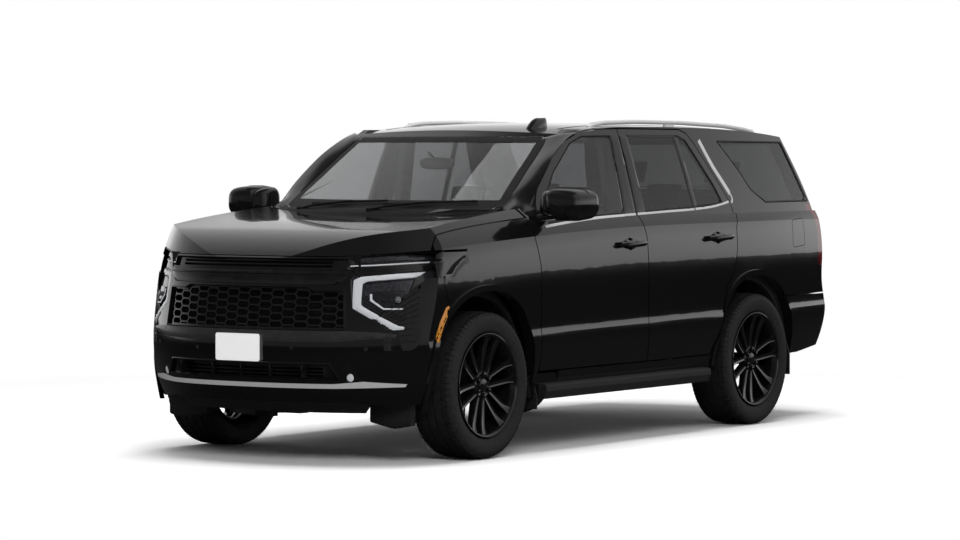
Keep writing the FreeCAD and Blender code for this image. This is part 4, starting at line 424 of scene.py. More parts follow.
def tint(tree, shader, factor, first, second):
    """Let the base colour wander between two colours."""
    ramp = add_node(tree, "ValToRGB")
    for stop, position, colour in zip(ramp.color_ramp.elements, (0.35, 0.65), (first, second)):
        stop.position, stop.color = position, (*colour, 1)
    tree.links.new(factor, ramp.inputs["Fac"])
    wire(tree, (ramp, "Color", shader, "Base Color"))


def vary_roughness(tree, shader, factor, low, high):
    spread = add_node(tree, "MapRange", To_Min=low, To_Max=high)
    tree.links.new(factor, spread.inputs["Value"])
    wire(tree, (spread, "Result", shader, "Roughness"))


def bump(tree, shader, factor, strength, distance):
    node = add_node(tree, "Bump", Strength=strength, Distance=distance)
    tree.links.new(factor, node.inputs["Height"])
    wire(tree, (node, "Normal", shader, "Normal"))


def solid_finish(name, first, second, scale, low, high, grain=0.0, depth=0.0005, **sockets):
    """A finish whose colour and roughness wander a little, with an optional grain."""
    material, tree, shader = new_material(name)
    set_sockets(shader, **sockets)
    factor = noise(tree, scale)
    tint(tree, shader, factor, first, second)
    vary_roughness(tree, shader, factor, low, high)
    if grain:
        bump(tree, shader, noise(tree, scale * 6, 6), grain, depth)
    return material


def paint_finish(looks):
    """Deep gloss paint with a clear coat and a very fine flake."""
    colour = tuple(looks.paint_colour)
    flake = tuple(min(1, c * 1.7 + 0.002) for c in colour)
    material, tree, shader = new_material("deep_gloss_paint")
    set_sockets(shader, Coat_Weight=1.0, Coat_Roughness=0.02, Specular_IOR_Level=0.35)
    factor = noise(tree, 900, 2)
    tint(tree, shader, factor, colour, flake)
    vary_roughness(tree, shader, factor, 0.1, 0.16)
    return material


def glass_finish(name, colour, dark=None):
    """Tinted glass that lets part of the light through; it may turn dark towards the rear."""
    material, tree, shader = new_material(name)
    set_sockets(shader, Roughness=0.0, IOR=1.45, Transmission_Weight=1.0)
    if dark is None:
        tint(tree, shader, noise(tree, 3), colour, tuple(min(1, c * 1.06) for c in colour))
        return material
    place, split = add_node(tree, "TexCoord"), add_node(tree, "SeparateXYZ")
    wire(tree, (place, "Object", split, "Vector"))
    tint(tree, shader, split.outputs["Y"], colour, dark)
    return material


def lamp_glow(name, colour, strength):
    """Frosted white light guide that glows a little."""
    material, tree, shader = new_material(name)
    set_sockets(shader, Emission_Strength=strength, Emission_Color=(*colour, 1), Coat_Weight=0.6)
    factor = noise(tree, 60)
    tint(tree, shader, factor, colour, tuple(c * 0.9 for c in colour))
    vary_roughness(tree, shader, factor, 0.2, 0.35)
    return material


FINISHES = {}


def make_finishes(looks):
    """Every finish of the vehicle, by a plain name."""
    black = tuple(looks.trim_colour)
    pale = tuple(looks.silver_colour)
    FINISHES.update({
        "paint": paint_finish(looks),
        "gloss_trim": solid_finish("gloss_black_trim", black, (0.012, 0.012, 0.013), 12, 0.08, 0.14,
                                   Coat_Weight=0.5, Coat_Roughness=0.04),
        "grained": solid_finish("grained_black_plastic", (0.018, 0.018, 0.019), (0.028, 0.028, 0.03), 90,
                                0.55, 0.7, 0.35, 0.0004),
        "rim": solid_finish("gloss_black_alloy", (0.008, 0.008, 0.009), (0.013, 0.013, 0.014), 20, 0.12, 0.2,
                            Metallic=0.3, Coat_Weight=0.7, Coat_Roughness=0.05),
        "rubber": solid_finish("tyre_rubber", (0.016, 0.016, 0.016), (0.027, 0.027, 0.027), 40, 0.6, 0.78,
                               0.3, 0.0005),
        "seal": solid_finish("seal_rubber", (0.008, 0.008, 0.008), (0.014, 0.014, 0.014), 60, 0.5, 0.65, 0.2,
                             0.0003),
        # Silver with a painted glow: a faint white emission makes the rails and bright strips read lighter
        # than their lighting makes them.
        "silver": solid_finish("satin_silver_painted_glow", pale, tuple(c * 0.94 for c in pale), 30, 0.2, 0.28,
                               Metallic=0.35, Emission_Color=(1, 1, 1, 1), Emission_Strength=0.12,
                               Coat_Weight=0.3),
        "lamp_body": solid_finish("lamp_housing", (0.02, 0.02, 0.022), (0.04, 0.04, 0.045), 30, 0.15, 0.3,
                                  Coat_Weight=0.8),
        "lamp_red": solid_finish("red_lens", (0.16, 0.004, 0.004), (0.24, 0.008, 0.008), 40, 0.06, 0.12,
                                 Coat_Weight=1.0),
        # The blank plate carries a painted glow: it emits light so that it shows whiter than the lamps light
        # it.
        "plate": solid_finish("white_blank_painted_glow", (0.9, 0.9, 0.9), (0.94, 0.94, 0.94), 15, 0.3, 0.4,
                              Emission_Color=(1, 1, 1, 1), Emission_Strength=0.45),
        "screen_glass": glass_finish("screen_glass", (0.57, 0.575, 0.58), (0.16, 0.164, 0.168)),
        "side_glass": glass_finish("side_glass", (0.36, 0.364, 0.368)),
        "dark_glass": glass_finish("dark_glass", (0.16, 0.163, 0.166)),
        "frame": solid_finish("frame_steel", (0.012, 0.012, 0.012), (0.03, 0.028, 0.026), 9, 0.45, 0.7, 0.3,
                              0.0006, Metallic=0.3),
        "iron": solid_finish("cast_iron", (0.05, 0.048, 0.046), (0.09, 0.085, 0.08), 50, 0.5, 0.7, 0.5,
                             0.0006, Metallic=0.8),
        "steel": solid_finish("pipe_steel", (0.3, 0.29, 0.28), (0.42, 0.41, 0.4), 25, 0.3, 0.5, 0.2, 0.0003,
                              Metallic=1.0),
        "leather": solid_finish("black_leather", (0.018, 0.017, 0.017), (0.03, 0.029, 0.029), 160, 0.42, 0.55,
                                0.5, 0.0005),
        "cabin": solid_finish("cabin_plastic", (0.02, 0.02, 0.021), (0.032, 0.032, 0.034), 120, 0.55, 0.7,
                              0.4, 0.0004), "glow": lamp_glow("light_guide_white", (0.78, 0.8, 0.83), 0.12),
        "red_glow": lamp_glow("light_guide_red", (0.6, 0.02, 0.02), 0.25),
        "amber": solid_finish("amber_lens", (0.75, 0.27, 0.02), (0.85, 0.34, 0.03), 50, 0.12, 0.2,
                              Coat_Weight=0.8),
        "lens": solid_finish("lens_cell", (0.55, 0.57, 0.6), (0.7, 0.72, 0.75), 80, 0.04, 0.08, Metallic=0.9,
                             Coat_Weight=1.0),
        "lens_dark": solid_finish("lens_bed", (0.012, 0.012, 0.014), (0.02, 0.02, 0.024), 60, 0.06, 0.12,
                                  Coat_Weight=1.0),
        "lamp_grey": solid_finish("lamp_bezel", (0.05, 0.05, 0.06), (0.085, 0.085, 0.1), 60, 0.18, 0.3,
                                  Metallic=0.6, Coat_Weight=0.8),
        "grey_bar": solid_finish("satin_grey_bar", (0.045, 0.045, 0.046), (0.06, 0.06, 0.062), 25, 0.28, 0.4,
                                 Metallic=0.3, Coat_Weight=0.3),
        "stitch": solid_finish("seam_thread", (0.05, 0.05, 0.05), (0.08, 0.08, 0.08), 300, 0.5, 0.7, 0.5,
                               0.0003),
        "mirror_face": solid_finish("mirror_face", (0.62, 0.63, 0.64), (0.68, 0.69, 0.7), 4, 0.015, 0.03,
                                    Metallic=1.0),
    })


NODE_FINISHES = {
    "paint": ["body_side_left", "body_side_right", "roof_panel", "fender_left", "fender_right",
              "front_bumper", "rear_bumper", "door_fl", "door_fr", "door_rl", "door_rr", "hood", "liftgate"],
    "gloss_trim": ["grille", "cowl_panel"],
    "lamp_body": ["headlamps"],
    "lamp_red": ["tail_lamps"],
    "silver": ["bumper_strip", "roof_fittings"],
    "plate": ["number_plate"],
    "screen_glass": ["fixed_glass"],
    "side_glass": ["glass_fl", "glass_fr"],
    "dark_glass": ["glass_rl", "glass_rr", "liftgate_glass"],
    "grained": ["running_boards", "wheel_liners", "fuel_tank", "air_dam"],
    "frame": ["chassis_frame", "floor_pan"],
    "iron": ["suspension", "engine_block", "knuckle_fl", "knuckle_fr"],
    "steel": ["exhaust"],
    "leather": ["front_seats", "rear_seats"],
    "cabin": ["dashboard", "steering_wheel"],
    "rim": ["wheel_fl", "wheel_fr", "wheel_rl", "wheel_rr"],
    "rubber": ["tyre_fl", "tyre_fr", "tyre_rl", "tyre_rr"],
}


def put_on(item, finish):
    """Give an object one finish in all its slots."""
    if not item.material_slots:
        item.data.materials.append(FINISHES[finish])
    for slot in item.material_slots:
        slot.material = FINISHES[finish]


SLOTS = {
    "paint": "body_paint", "gloss_trim": "trim_black", "grained": "grain_black", "rim": "rim_black",
    "rubber": "tyre", "seal": "grain_black", "silver": "silver", "lamp_body": "lamp", "lamp_red": "lamp_red",
    "plate": "plate_white", "screen_glass": "glass_tint", "side_glass": "glass_tint",
    "dark_glass": "glass_tint", "frame": "frame_steel", "iron": "iron", "steel": "steel",
    "leather": "seat_leather", "cabin": "cabin_plastic", "glow": "lamp", "amber": "lamp", "lens": "lamp",
    "grey_bar": "trim_black", "mirror_face": "silver", "lens_dark": "lamp", "lamp_grey": "lamp",
    "stitch": "seat_leather", "red_glow": "lamp_red",
}


# Wheels and tyres

WHEEL_PLACES = {"fl": ("front_left_wheel", 1), "fr": ("front_right_wheel", -1), "rl": ("rear_left_wheel", 1),
                "rr": ("rear_right_wheel", -1)}
FIRST = "front_left_wheel"
AXLE = ((0, 0, 0), (1, 0, 0))
MM = 0.001


def wheel_centre(place):
    low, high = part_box("tyre_" + place)
    return (Vector(low) + Vector(high)) / 2


def set_on_axle(piece, place, name):
    """A copy of a piece made round the origin, put on one wheel's axle and turned outwards."""
    body, side = WHEEL_PLACES[place]
    mesh = mesh_copy(piece, name, side < 0)
    mesh.transform(Matrix.Translation(wheel_centre(place)))
    return placed(name, mesh, body, piece["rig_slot"])


def tyre_outline(tyres):
    """Places across the tread and sidewall: (across, radius, shoulder share)."""
    half, radius = tyres.width / 2, tyres.radius
    groove, depth = tyres.groove_width / 2, tyres.groove_depth
    points = [(-half * 0.86, radius - 0.117, 0), (-half * 0.93, radius - 0.107, 0),
              (-half * 0.955, radius - 0.098, 0), (-half * 0.985, radius - 0.076, 0),
              (-half, radius - 0.058, 0), (-half * 0.992, radius - 0.040, 0),
              (-half * 0.965, radius - 0.026, 0), (-half * 0.955, radius - 0.0245, 0.4),
              (-half * 0.925, radius - 0.0145, 1), (-half * 0.87, radius - 0.0068, 1),
              (-half * 0.8, radius - 0.0042, 1), (-half * 0.66, radius - 0.0026, 1)]
    for spot_share in (-0.6, -0.2, 0.2, 0.6):
        middle = half * spot_share
        crown = radius - 0.0026 * abs(spot_share) / 0.66
        points += [(middle - groove, crown, 0), (middle - groove * 0.7, crown - depth, 0),
                   (middle + groove * 0.7, crown - depth, 0), (middle + groove, crown, 0)]
        if spot_share < 0.6:
            points.append((middle + half * 0.2, radius - 0.0008, 0))
    points += [(-a, r, s) for a, r, s in reversed(points[:12])]
    return points


def make_tyre(tyres):
    """One tyre round the origin: sidewalls, four grooves and a cut shoulder at every pitch."""
    outline = tyre_outline(tyres)
    pitch = 2 * math.pi / tyres.pitches
    columns = []
    for k in range(tyres.pitches):
        start = k * pitch
        columns += [(start, 0.0), (start + pitch * 0.66, 0.0), (start + pitch * 0.71, 1.0),
                    (start + pitch * 0.95, 1.0)]
    verts, faces = [], []
    for turn, cut in columns:
        for across, radius, shoulder in outline:
            r = radius - cut * shoulder * tyres.shoulder_depth
            lean = turn + abs(across) * 0.18 * (1 if across > 0 else -1)
            verts.append((across, r * math.cos(lean), r * math.sin(lean)))
    rows = len(outline)
    for c in range(len(columns)):
        ahead = (c + 1) % len(columns)
        for k in range(rows - 1):
            faces.append((c * rows + k, c * rows + k + 1, ahead * rows + k + 1, ahead * rows + k))
    return mesh_piece("tyre_first", verts, faces, "rubber", FIRST, 28)


def sidewall_ribs(tyres):
    """Fine raised rings on the sidewall."""
    half, radius = tyres.width / 2, tyres.radius
    section = ((-0.001, -0.0022), (0.0002, -0.0012), (0.0002, 0.0012), (-0.001, 0.0022))
    rings = []
    for side in (-1, 1):
        for share, drop in ((0.952, 0.1), (0.99, 0.072), (0.999, 0.046)):
            profile = [(side * (half * share + out), radius - drop + up) for out, up in section]
            rings.append(turned("rib", profile, *AXLE, "rubber", FIRST, 96))
    return joined("tyre_ribs", rings, FIRST)


def make_barrel():
    """The rim with its lips, as one closed turned shape."""
    outside = [(128, 296), (130, 291), (128, 285), (122, 279), (108, 272), (86, 266), (20, 250), (-60, 250),
               (-96, 262), (-116, 276), (-126, 290), (-127, 297)]
    inside = [(-121, 297), (-119, 283), (-104, 280), (-90, 268), (-50, 258), (30, 258), (84, 274), (104, 281),
              (118, 283), (121, 296), (128, 296)]
    return turned("barrel", [(a * MM, r * MM) for a, r in outside + inside], *AXLE, "rim", FIRST, 96, 30)


def bar_section(half_width, depth):
    """A spoke's section: (across, behind its face), with a ridge along each edge."""
    w, d = half_width, depth
    return [(-w, 0.006), (-w * 0.82, 0.0), (-w * 0.5, 0.0015), (w * 0.5, 0.0015), (w * 0.82, 0.0), (w, 0.006),
            (w * 0.86, d), (-w * 0.86, d)]


HUB_EDGE, RIM_EDGE = 0.052, 0.277
SPOKE_PARTS = 10


def make_spokes(wheels):
    """Pairs of spokes that part on their way to the rim."""
    verts, faces = [], []
    for pair in range(wheels.spoke_pairs):
        middle = 2 * math.pi * (pair + 0.25) / wheels.spoke_pairs
        radial = Vector((0, math.cos(middle), math.sin(middle)))
        across = Vector((0, -math.sin(middle), math.cos(middle)))
        for side in (-1, 1):
            first = len(verts)
            for i in range(SPOKE_PARTS + 1):
                t = i / SPOKE_PARTS
                radius = HUB_EDGE + (RIM_EDGE - HUB_EDGE) * t
                off = side * (wheels.spoke_inner + (wheels.spoke_outer - wheels.spoke_inner) * t ** 0.8)
                face = 0.088 + 0.02 * t ** 1.5 + 0.012 * t ** 8
                half_width = 0.0145 + 0.004 * t + 0.01 * max(0, t - 0.86) / 0.14
                for a, d in bar_section(half_width, 0.045 - 0.012 * t):
                    verts.append(radial * radius + across * (off + a) + Vector((face - d, 0, 0)))
            faces += ring_faces(SPOKE_PARTS + 1, 8, first) + end_faces(SPOKE_PARTS + 1, 8, first)
    return mesh_piece("spokes", verts, faces, "rim", FIRST, 30)


def make_hub(wheels):
    """The wheel's middle: a dished disc, its cap, the nuts in their pockets and the valve."""
    disc = [(62, 0), (62, 78), (80, 82), (88, 78), (92, 68), (88, 50), (84, 42), (94, 38), (97, 34), (98, 28),
            (99, 0)]
    nut = [(0.07, 0.012), (0.101, 0.012), (0.104, 0.0095), (0.105, 0.006), (0.105, 0)]
    pocket = [(0.08, 0.019), (0.0935, 0.0185), (0.0935, 0.0155), (0.08, 0.015)]
    valve = [(0.1, 0.004), (0.128, 0.0035), (0.13, 0.005), (0.14, 0.005), (0.14, 0)]
    parts = [turned("hub", [(a * MM, r * MM) for a, r in disc], *AXLE, "rim", FIRST, 60, 25)]
    for k in range(wheels.nuts):
        turn = 2 * math.pi * (k + 0.5) / wheels.nuts
        place = (0, 0.0605 * math.cos(turn), 0.0605 * math.sin(turn))
        parts.append(turned("nut", nut, place, AXLE[1], "rim", FIRST, 6, 20))
        parts.append(turned("seat", pocket, place, AXLE[1], "rim", FIRST, 20, 25))
    parts.append(turned("valve", valve, (0, 0.262, 0.03), AXLE[1], "rim", FIRST, 12))
    return joined("hub_and_nuts", parts, FIRST)


def length(name, description, default):
    return FloatProperty(name=name, description=description, unit="LENGTH", default=default)


class SuvTyres(bpy.types.PropertyGroup):
    """Sizes of the tyres' tread."""

    radius: length("Radius", "Radius of the tread", 0.4169)
    width: length("Width", "Width across the sidewalls", 0.275)
    groove_width: length("Groove width", "Width of a groove", 0.010)
    groove_depth: length("Groove depth", "Depth of a groove", 0.008)
    shoulder_depth: length("Shoulder depth", "Depth of the cuts in the shoulder", 0.0055)
    pitches: IntProperty(name="Pitches", description="Cuts round each shoulder", default=78, min=12)


class SuvWheels(bpy.types.PropertyGroup):
    """Sizes of the wheels."""

    spoke_pairs: IntProperty(name="Spoke pairs", description="Pairs of spokes on a wheel", default=6, min=3)
    spoke_inner: length("Inner half gap", "Half the distance of a pair at the hub", 0.020)
    spoke_outer: length("Outer half gap", "Half the distance of a pair at the rim", 0.052)
    nuts: IntProperty(name="Nuts", description="Wheel nuts on a wheel", default=6, min=3)


class SUV_OT_tyres(bpy.types.Operator):
    """Make the four tyres with their tread"""

    bl_idname = "suv.tyres"
    bl_label = "Tyres"

    def execute(self, context):
        tyres = context.scene.suv_tyres
        first = joined("tyre_made", [make_tyre(tyres), sidewall_ribs(tyres)], FIRST)
        for place in WHEEL_PLACES:
            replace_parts(set_on_axle(first, place, "treaded_tyre_" + place), "tyre_" + place)
        bpy.data.objects.remove(first)
        return {"FINISHED"}


class SUV_OT_wheels(bpy.types.Operator):
    """Make the four wheels with paired spokes"""

    bl_idname = "suv.wheels"
    bl_label = "Wheels"

    def execute(self, context):
        wheels = context.scene.suv_wheels
        first = joined("wheel_made", [make_barrel(), make_spokes(wheels), make_hub(wheels)], FIRST)
        for place in WHEEL_PLACES:
            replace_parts(set_on_axle(first, place, "spoked_wheel_" + place), "wheel_" + place)
        bpy.data.objects.remove(first)
        return {"FINISHED"}


# Front: lamps, bars, strips and small fittings


def mm_outline(points):
    return [(a * MM, b * MM) for a, b in points]


BODY_PAIRS = {"root": ("root", "root"), "front": ("front_left_door", "front_right_door"),
              "rear": ("rear_left_door", "rear_right_door")}


def both_sides(piece, stem):
    """Keep a left-hand piece of the root and add its twin on the right."""
    piece.name = stem + "_left"
    return piece, mirrored(piece, stem + "_right", "root")


def on_both(maker, stem, *shape, pair="root", **more):
    """Make a left-hand piece and its twin on the right."""
    left, right = BODY_PAIRS[pair]
    piece = maker(stem + "_left", *shape, body=left, **more)
    return piece, mirrored(piece, stem + "_right", right)


def side_name(side):
    return "left" if side > 0 else "right"


class SUV_OT_headlamps(bpy.types.Operator):
    """Make the lamps' light guides, lens blocks and dark housings"""

    bl_idname = "suv.headlamps"
    bl_label = "Head lamps"

    housing = mm_outline([(600, 1090), (600, 1156), (700, 1166), (920, 1186), (946, 1184), (955, 1140),
                          (944, 1044), (915, 996), (888, 972), (886, 744), (840, 738), (636, 862),
                          (622, 1034), (640, 1074)])
    upper_bar = mm_outline([(607, 1112), (610, 1145), (924, 1171), (916, 1146), (905, 1138), (760, 1129),
                            (640, 1118)])
    upper_line = [(0.612, 1.1045), (0.690, 1.1075), (0.780, 1.113), (0.900, 1.1225)]
    brow = mm_outline([(628, 1052), (640, 1098), (905, 1116), (934, 1100), (930, 1086), (905, 1078),
                       (665, 1054)])
    hook = mm_outline([(638, 1029), (669, 1046), (905, 1071), (890, 1046), (870, 1040), (700, 1021),
                       (681, 1008), (686, 893), (700, 880), (858, 775), (880, 772), (880, 756), (845, 752),
                       (830, 754), (649, 873)])
    well = mm_outline([(690, 1012), (884, 1034), (880, 782), (858, 786), (696, 894)])
    lens_edge = mm_outline([(720, 952), (730, 952), (734, 922), (790, 875), (868, 874), (868, 867),
                            (788, 866), (724, 916)])
    lens_block = mm_outline([(734, 962), (862, 968), (868, 878), (791, 879), (737, 924)])
    slot = mm_outline([(893, 637), (884, 660), (888, 985), (918, 1000), (936, 990), (940, 700), (930, 664),
                       (912, 645)])

    def execute(self, context):
        skin = fitted_skin(surface("front_bumper", "fender_left", "hood"), (0.60, 0.66), (0.955, 1.185))
        lamps = context.scene.suv_lamps
        rows = (
            ("lamp_housing", self.housing, 0.006, "lamp_body", -0.016, 0.022, 0.0),
            ("lamp_brow", self.brow, 0.008, "gloss_trim", -0.006, 0.010, 0.002),
            ("lamp_upper_guide", self.upper_bar, 0.006, "lamp_grey", -0.001, 0.015, 0.003),
            ("lamp_hook_guide", self.hook, 0.006, "glow", 0.0, 0.016, 0.004),
            ("lamp_well", self.well, 0.008, "lamp_grey", -0.012, 0.004, 0.001),
            ("lamp_lens_bed", self.lens_block, 0.006, "lens_dark", -0.007, 0.006, 0.002),
            ("lamp_lens_edge", self.lens_edge, 0.002, "glow", -0.005, 0.008, 0.001),
        )
        made = {}
        for stem, outline, corner, finish, lift, sink, edge in rows:
            made[stem] = on_both(patch, stem, rounded(outline, corner), "front", skin, finish, lift=lift,
                                 sink=sink, cell=0.012, edge=edge)
        for piece in made["lamp_housing"]:
            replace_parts(piece, "headlamps")
        on_both(band, "lamp_upper_line", self.upper_line, 0.006, 0.0, "front", skin, "glow", sink=0.014)
        cells = []
        for k in range(lamps.cells):
            x = 0.752 + 0.09 * k / max(1, lamps.cells - 1)
            size, finish = (0.0125, "lens") if k == lamps.cells - 1 else (0.010, "lamp_grey")
            place, normal = spot(skin, "front", x, 0.921)
            profile = [(-0.004, size * 1.4), (0.0035, size * 1.35), (0.004, size * 1.1), (-0.001, size * 0.8),
                       (0.004, size * 0.55), (0.006, 0)]
            cells.append(turned("cell", profile, place - normal * 0.006, normal, finish, sides=24))
        both_sides(cells.pop(), "lamp_lit_cell")
        both_sides(joined("lamp_cells", cells), "lamp_cells")
        folds = []
        for k in range(3):
            line = [(0.700, 0.905 + 0.018 * k), (0.790, 0.846 + 0.012 * k), (0.874, 0.800 + 0.012 * k)]
            folds.append(band("fold", line, 0.003, -0.0095, "front", skin, "lens_dark", sink=0.013))
        both_sides(joined("lamp_well_folds", folds), "lamp_well_folds")
        wing = surface("headlamps", "fender_left", "front_bumper")
        cover = [(-2.146, 1.040), (-2.142, 1.100), (-2.132, 1.166), (-2.080, 1.186), (-1.960, 1.192),
                 (-1.850, 1.192), (-1.850, 1.080), (-1.930, 1.046), (-2.000, 1.030), (-2.080, 1.020)]
        on_both(patch, "lamp_wing_cover", rounded(cover, 0.01), "left", wing, "paint", lift=0.0015,
                sink=0.004, cell=0.012)
        corner = surface("front_bumper", "fender_left")
        on_both(patch, "lamp_corner_slot", rounded(self.slot, 0.012), "front", corner, "grained", lift=0.0015)
        fins = []
        for k in range(9):
            z = 0.69 + 0.034 * k
            fins.append(band("fin", [(0.896, z), (0.926, z + 0.004)], 0.006, 0.003, "front", corner,
                             "gloss_trim"))
        both_sides(joined("lamp_slot_fins", fins), "lamp_slot_fins")
        return {"FINISHED"}


BACKING_PARTS = 24


class SUV_OT_front_bars(bpy.types.Operator):
    """Make the bars, bezels and small fittings between the lamps"""

    bl_idname = "suv.front_bars"
    bl_label = "Front bars"

    def execute(self, context):
        tree = surface("front_bumper", "headlamps", "fender_left", "fender_right", "hood")
        bar = mm_outline([(-606, 1078), (606, 1078), (612, 1040), (560, 1002), (-560, 1002), (-612, 1040)])
        patch("emblem_bar", rounded(bar, 0.012), "front", tree, "gloss_trim", lift=0.007, edge=0.004)
        band("emblem_bar_ridge", [(-0.600, 1.060), (0, 1.062), (0.600, 1.060)], 0.012, 0.013, "front", tree,
             "gloss_trim")
        badge = mm_outline([(-78, 1020), (78, 1020), (86, 1036), (78, 1052), (-78, 1052), (-86, 1036)])
        patch("bare_badge_place", rounded(badge, 0.008), "front", tree, "rim", lift=0.0105, edge=0.0015)
        grey = mm_outline([(-617, 750), (-130, 750), (617, 750), (760, 742), (887, 722), (884, 716),
                           (700, 700), (582, 688), (0, 686), (-582, 688), (-620, 700)])
        patch("grey_bar_left", rounded(grey, 0.004), "front", tree, "grey_bar", lift=0.004, edge=0.002)
        grey = mm_outline([(-600, 692), (-700, 700), (-884, 716), (-887, 722), (-760, 742), (-617, 750)])
        patch("grey_bar_right", rounded(grey, 0.004), "front", tree, "grey_bar", lift=0.0038, edge=0.002)
        rims = []
        for line in (
            [(-0.617, 0.757), (0.617, 0.757), (0.598, 0.968), (0.450, 0.968), (0.408, 0.988), (-0.408, 0.988),
             (-0.450, 0.968), (-0.598, 0.968), (-0.617, 0.757)],
            [(-0.600, 1.088), (0.600, 1.088), (0.596, 1.142), (-0.596, 1.142), (-0.600, 1.088)],
            [(-0.585, 0.486), (0.585, 0.486), (0.540, 0.566), (-0.540, 0.566), (-0.585, 0.486)],
        ):
            middle = (line[0][1] + line[2][1]) / 2
            grown_line = [(a * 1.008, b + (0.004 if b > middle else -0.004)) for a, b in line]
            rims.append(band("rim", grown_line, 0.009, 0.003, "front", tree, "gloss_trim", smooth=False))
        joined("grille_bezels", rims)
        posts = []
        for x in (-0.42, -0.2, 0.0, 0.2, 0.42):
            posts.append(box_piece("post", (x - 0.004, -2.655, 0.490), (x + 0.004, -2.600, 0.562)))
        joined("lower_grille_posts", posts)
        backing = []
        for x_low, x_high, z_low, z_high in ((-0.66, 0.66, 0.44, 0.60), (-0.66, 0.66, 0.735, 1.165)):
            rings = []
            for k in range(BACKING_PARTS + 1):
                x = x_low + (x_high - x_low) * k / BACKING_PARTS
                y = -2.520 + 0.09 * (abs(x) / 0.66) ** 2.4
                rings.append([Vector((x, y, z_low)), Vector((x, y + 0.004, z_low)),
                              Vector((x, y + 0.004, z_high)), Vector((x, y, z_high))])
            backing.append(loft("backing", rings, "seal"))
        joined("grille_backing", backing)
        for side in (-1, 1):
            rings = []
            for k in range(9):
                share = k / 8
                depth = 0.018 + 0.012 * math.sin(math.pi * share)
                x, low = side * (0.575 + 0.275 * share), 0.196 + 0.05 * abs(share - 0.6)
                rings.append([Vector((x, -2.205 - depth, low + 0.01)), Vector((x, -2.205 - depth, 0.43)),
                              Vector((x, -2.175, 0.43)), Vector((x, -2.175, low)),
                              Vector((x, -2.195 - depth, low))])
            loft("air_deflector_" + side_name(side), rings, "grained")
        sensors = (("a", 0.343, 0.655), ("b", 0.721, 0.650), ("c", -0.308, 0.640), ("d", -0.721, 0.650))
        button = [(-0.002, 0.0115), (0.001, 0.0115), (0.0012, 0.0095), (0.0022, 0.009), (0.0024, 0)]
        for stem, x, z in sensors:
            place, normal = spot(tree, "front", x, z)
            turned("park_sensor_" + stem, button, place, normal, "grained", sides=28)
        fog = surface("front_bumper", "headlamps")
        ring = [(-0.004, 0.034), (0.003, 0.033), (0.005, 0.029), (0.002, 0.024), (-0.004, 0.022)]
        lens = [(0.0, 0.0225), (0.004, 0.021), (0.0065, 0.014), (0.0075, 0)]
        pod = mm_outline([(598, 470), (706, 470), (640, 560), (560, 566), (600, 492)])
        for side in (-1, 1):
            place, normal = spot(fog, "front", side * 0.643, 0.492)
            stem = side_name(side)
            turned("fog_ring_" + stem, ring, place, normal, "gloss_trim", sides=40)
            turned("fog_lens_" + stem, lens, place, normal, "glow", sides=40)
            outline = [(side * a, b) for a, b in pod][::side]
            patch("fog_pod_" + stem, rounded(outline, 0.008), "front", tree, "gloss_trim", lift=0.0014)
        return {"FINISHED"}


def box_piece(name, low, high, finish="gloss_trim", body="root", edge=0.0008):
    """A small bar with softened edges."""
    model = bmesh.new()
    bmesh.ops.create_cube(model, size=1)
    size = Vector(high) - Vector(low)
    middle = (Vector(high) + Vector(low)) / 2
    for v in model.verts:
        v.co = Vector((v.co.x * size.x, v.co.y * size.y, v.co.z * size.z)) + middle
    bmesh.ops.bevel(model, geom=model.edges[:], offset=min(edge, *(s * 0.3 for s in size)), segments=2,
                    profile=0.6, affect="EDGES")
    return bmesh_piece(name, model, finish, body)


# Side: belt strips, pillars' covers, window surrounds and marks


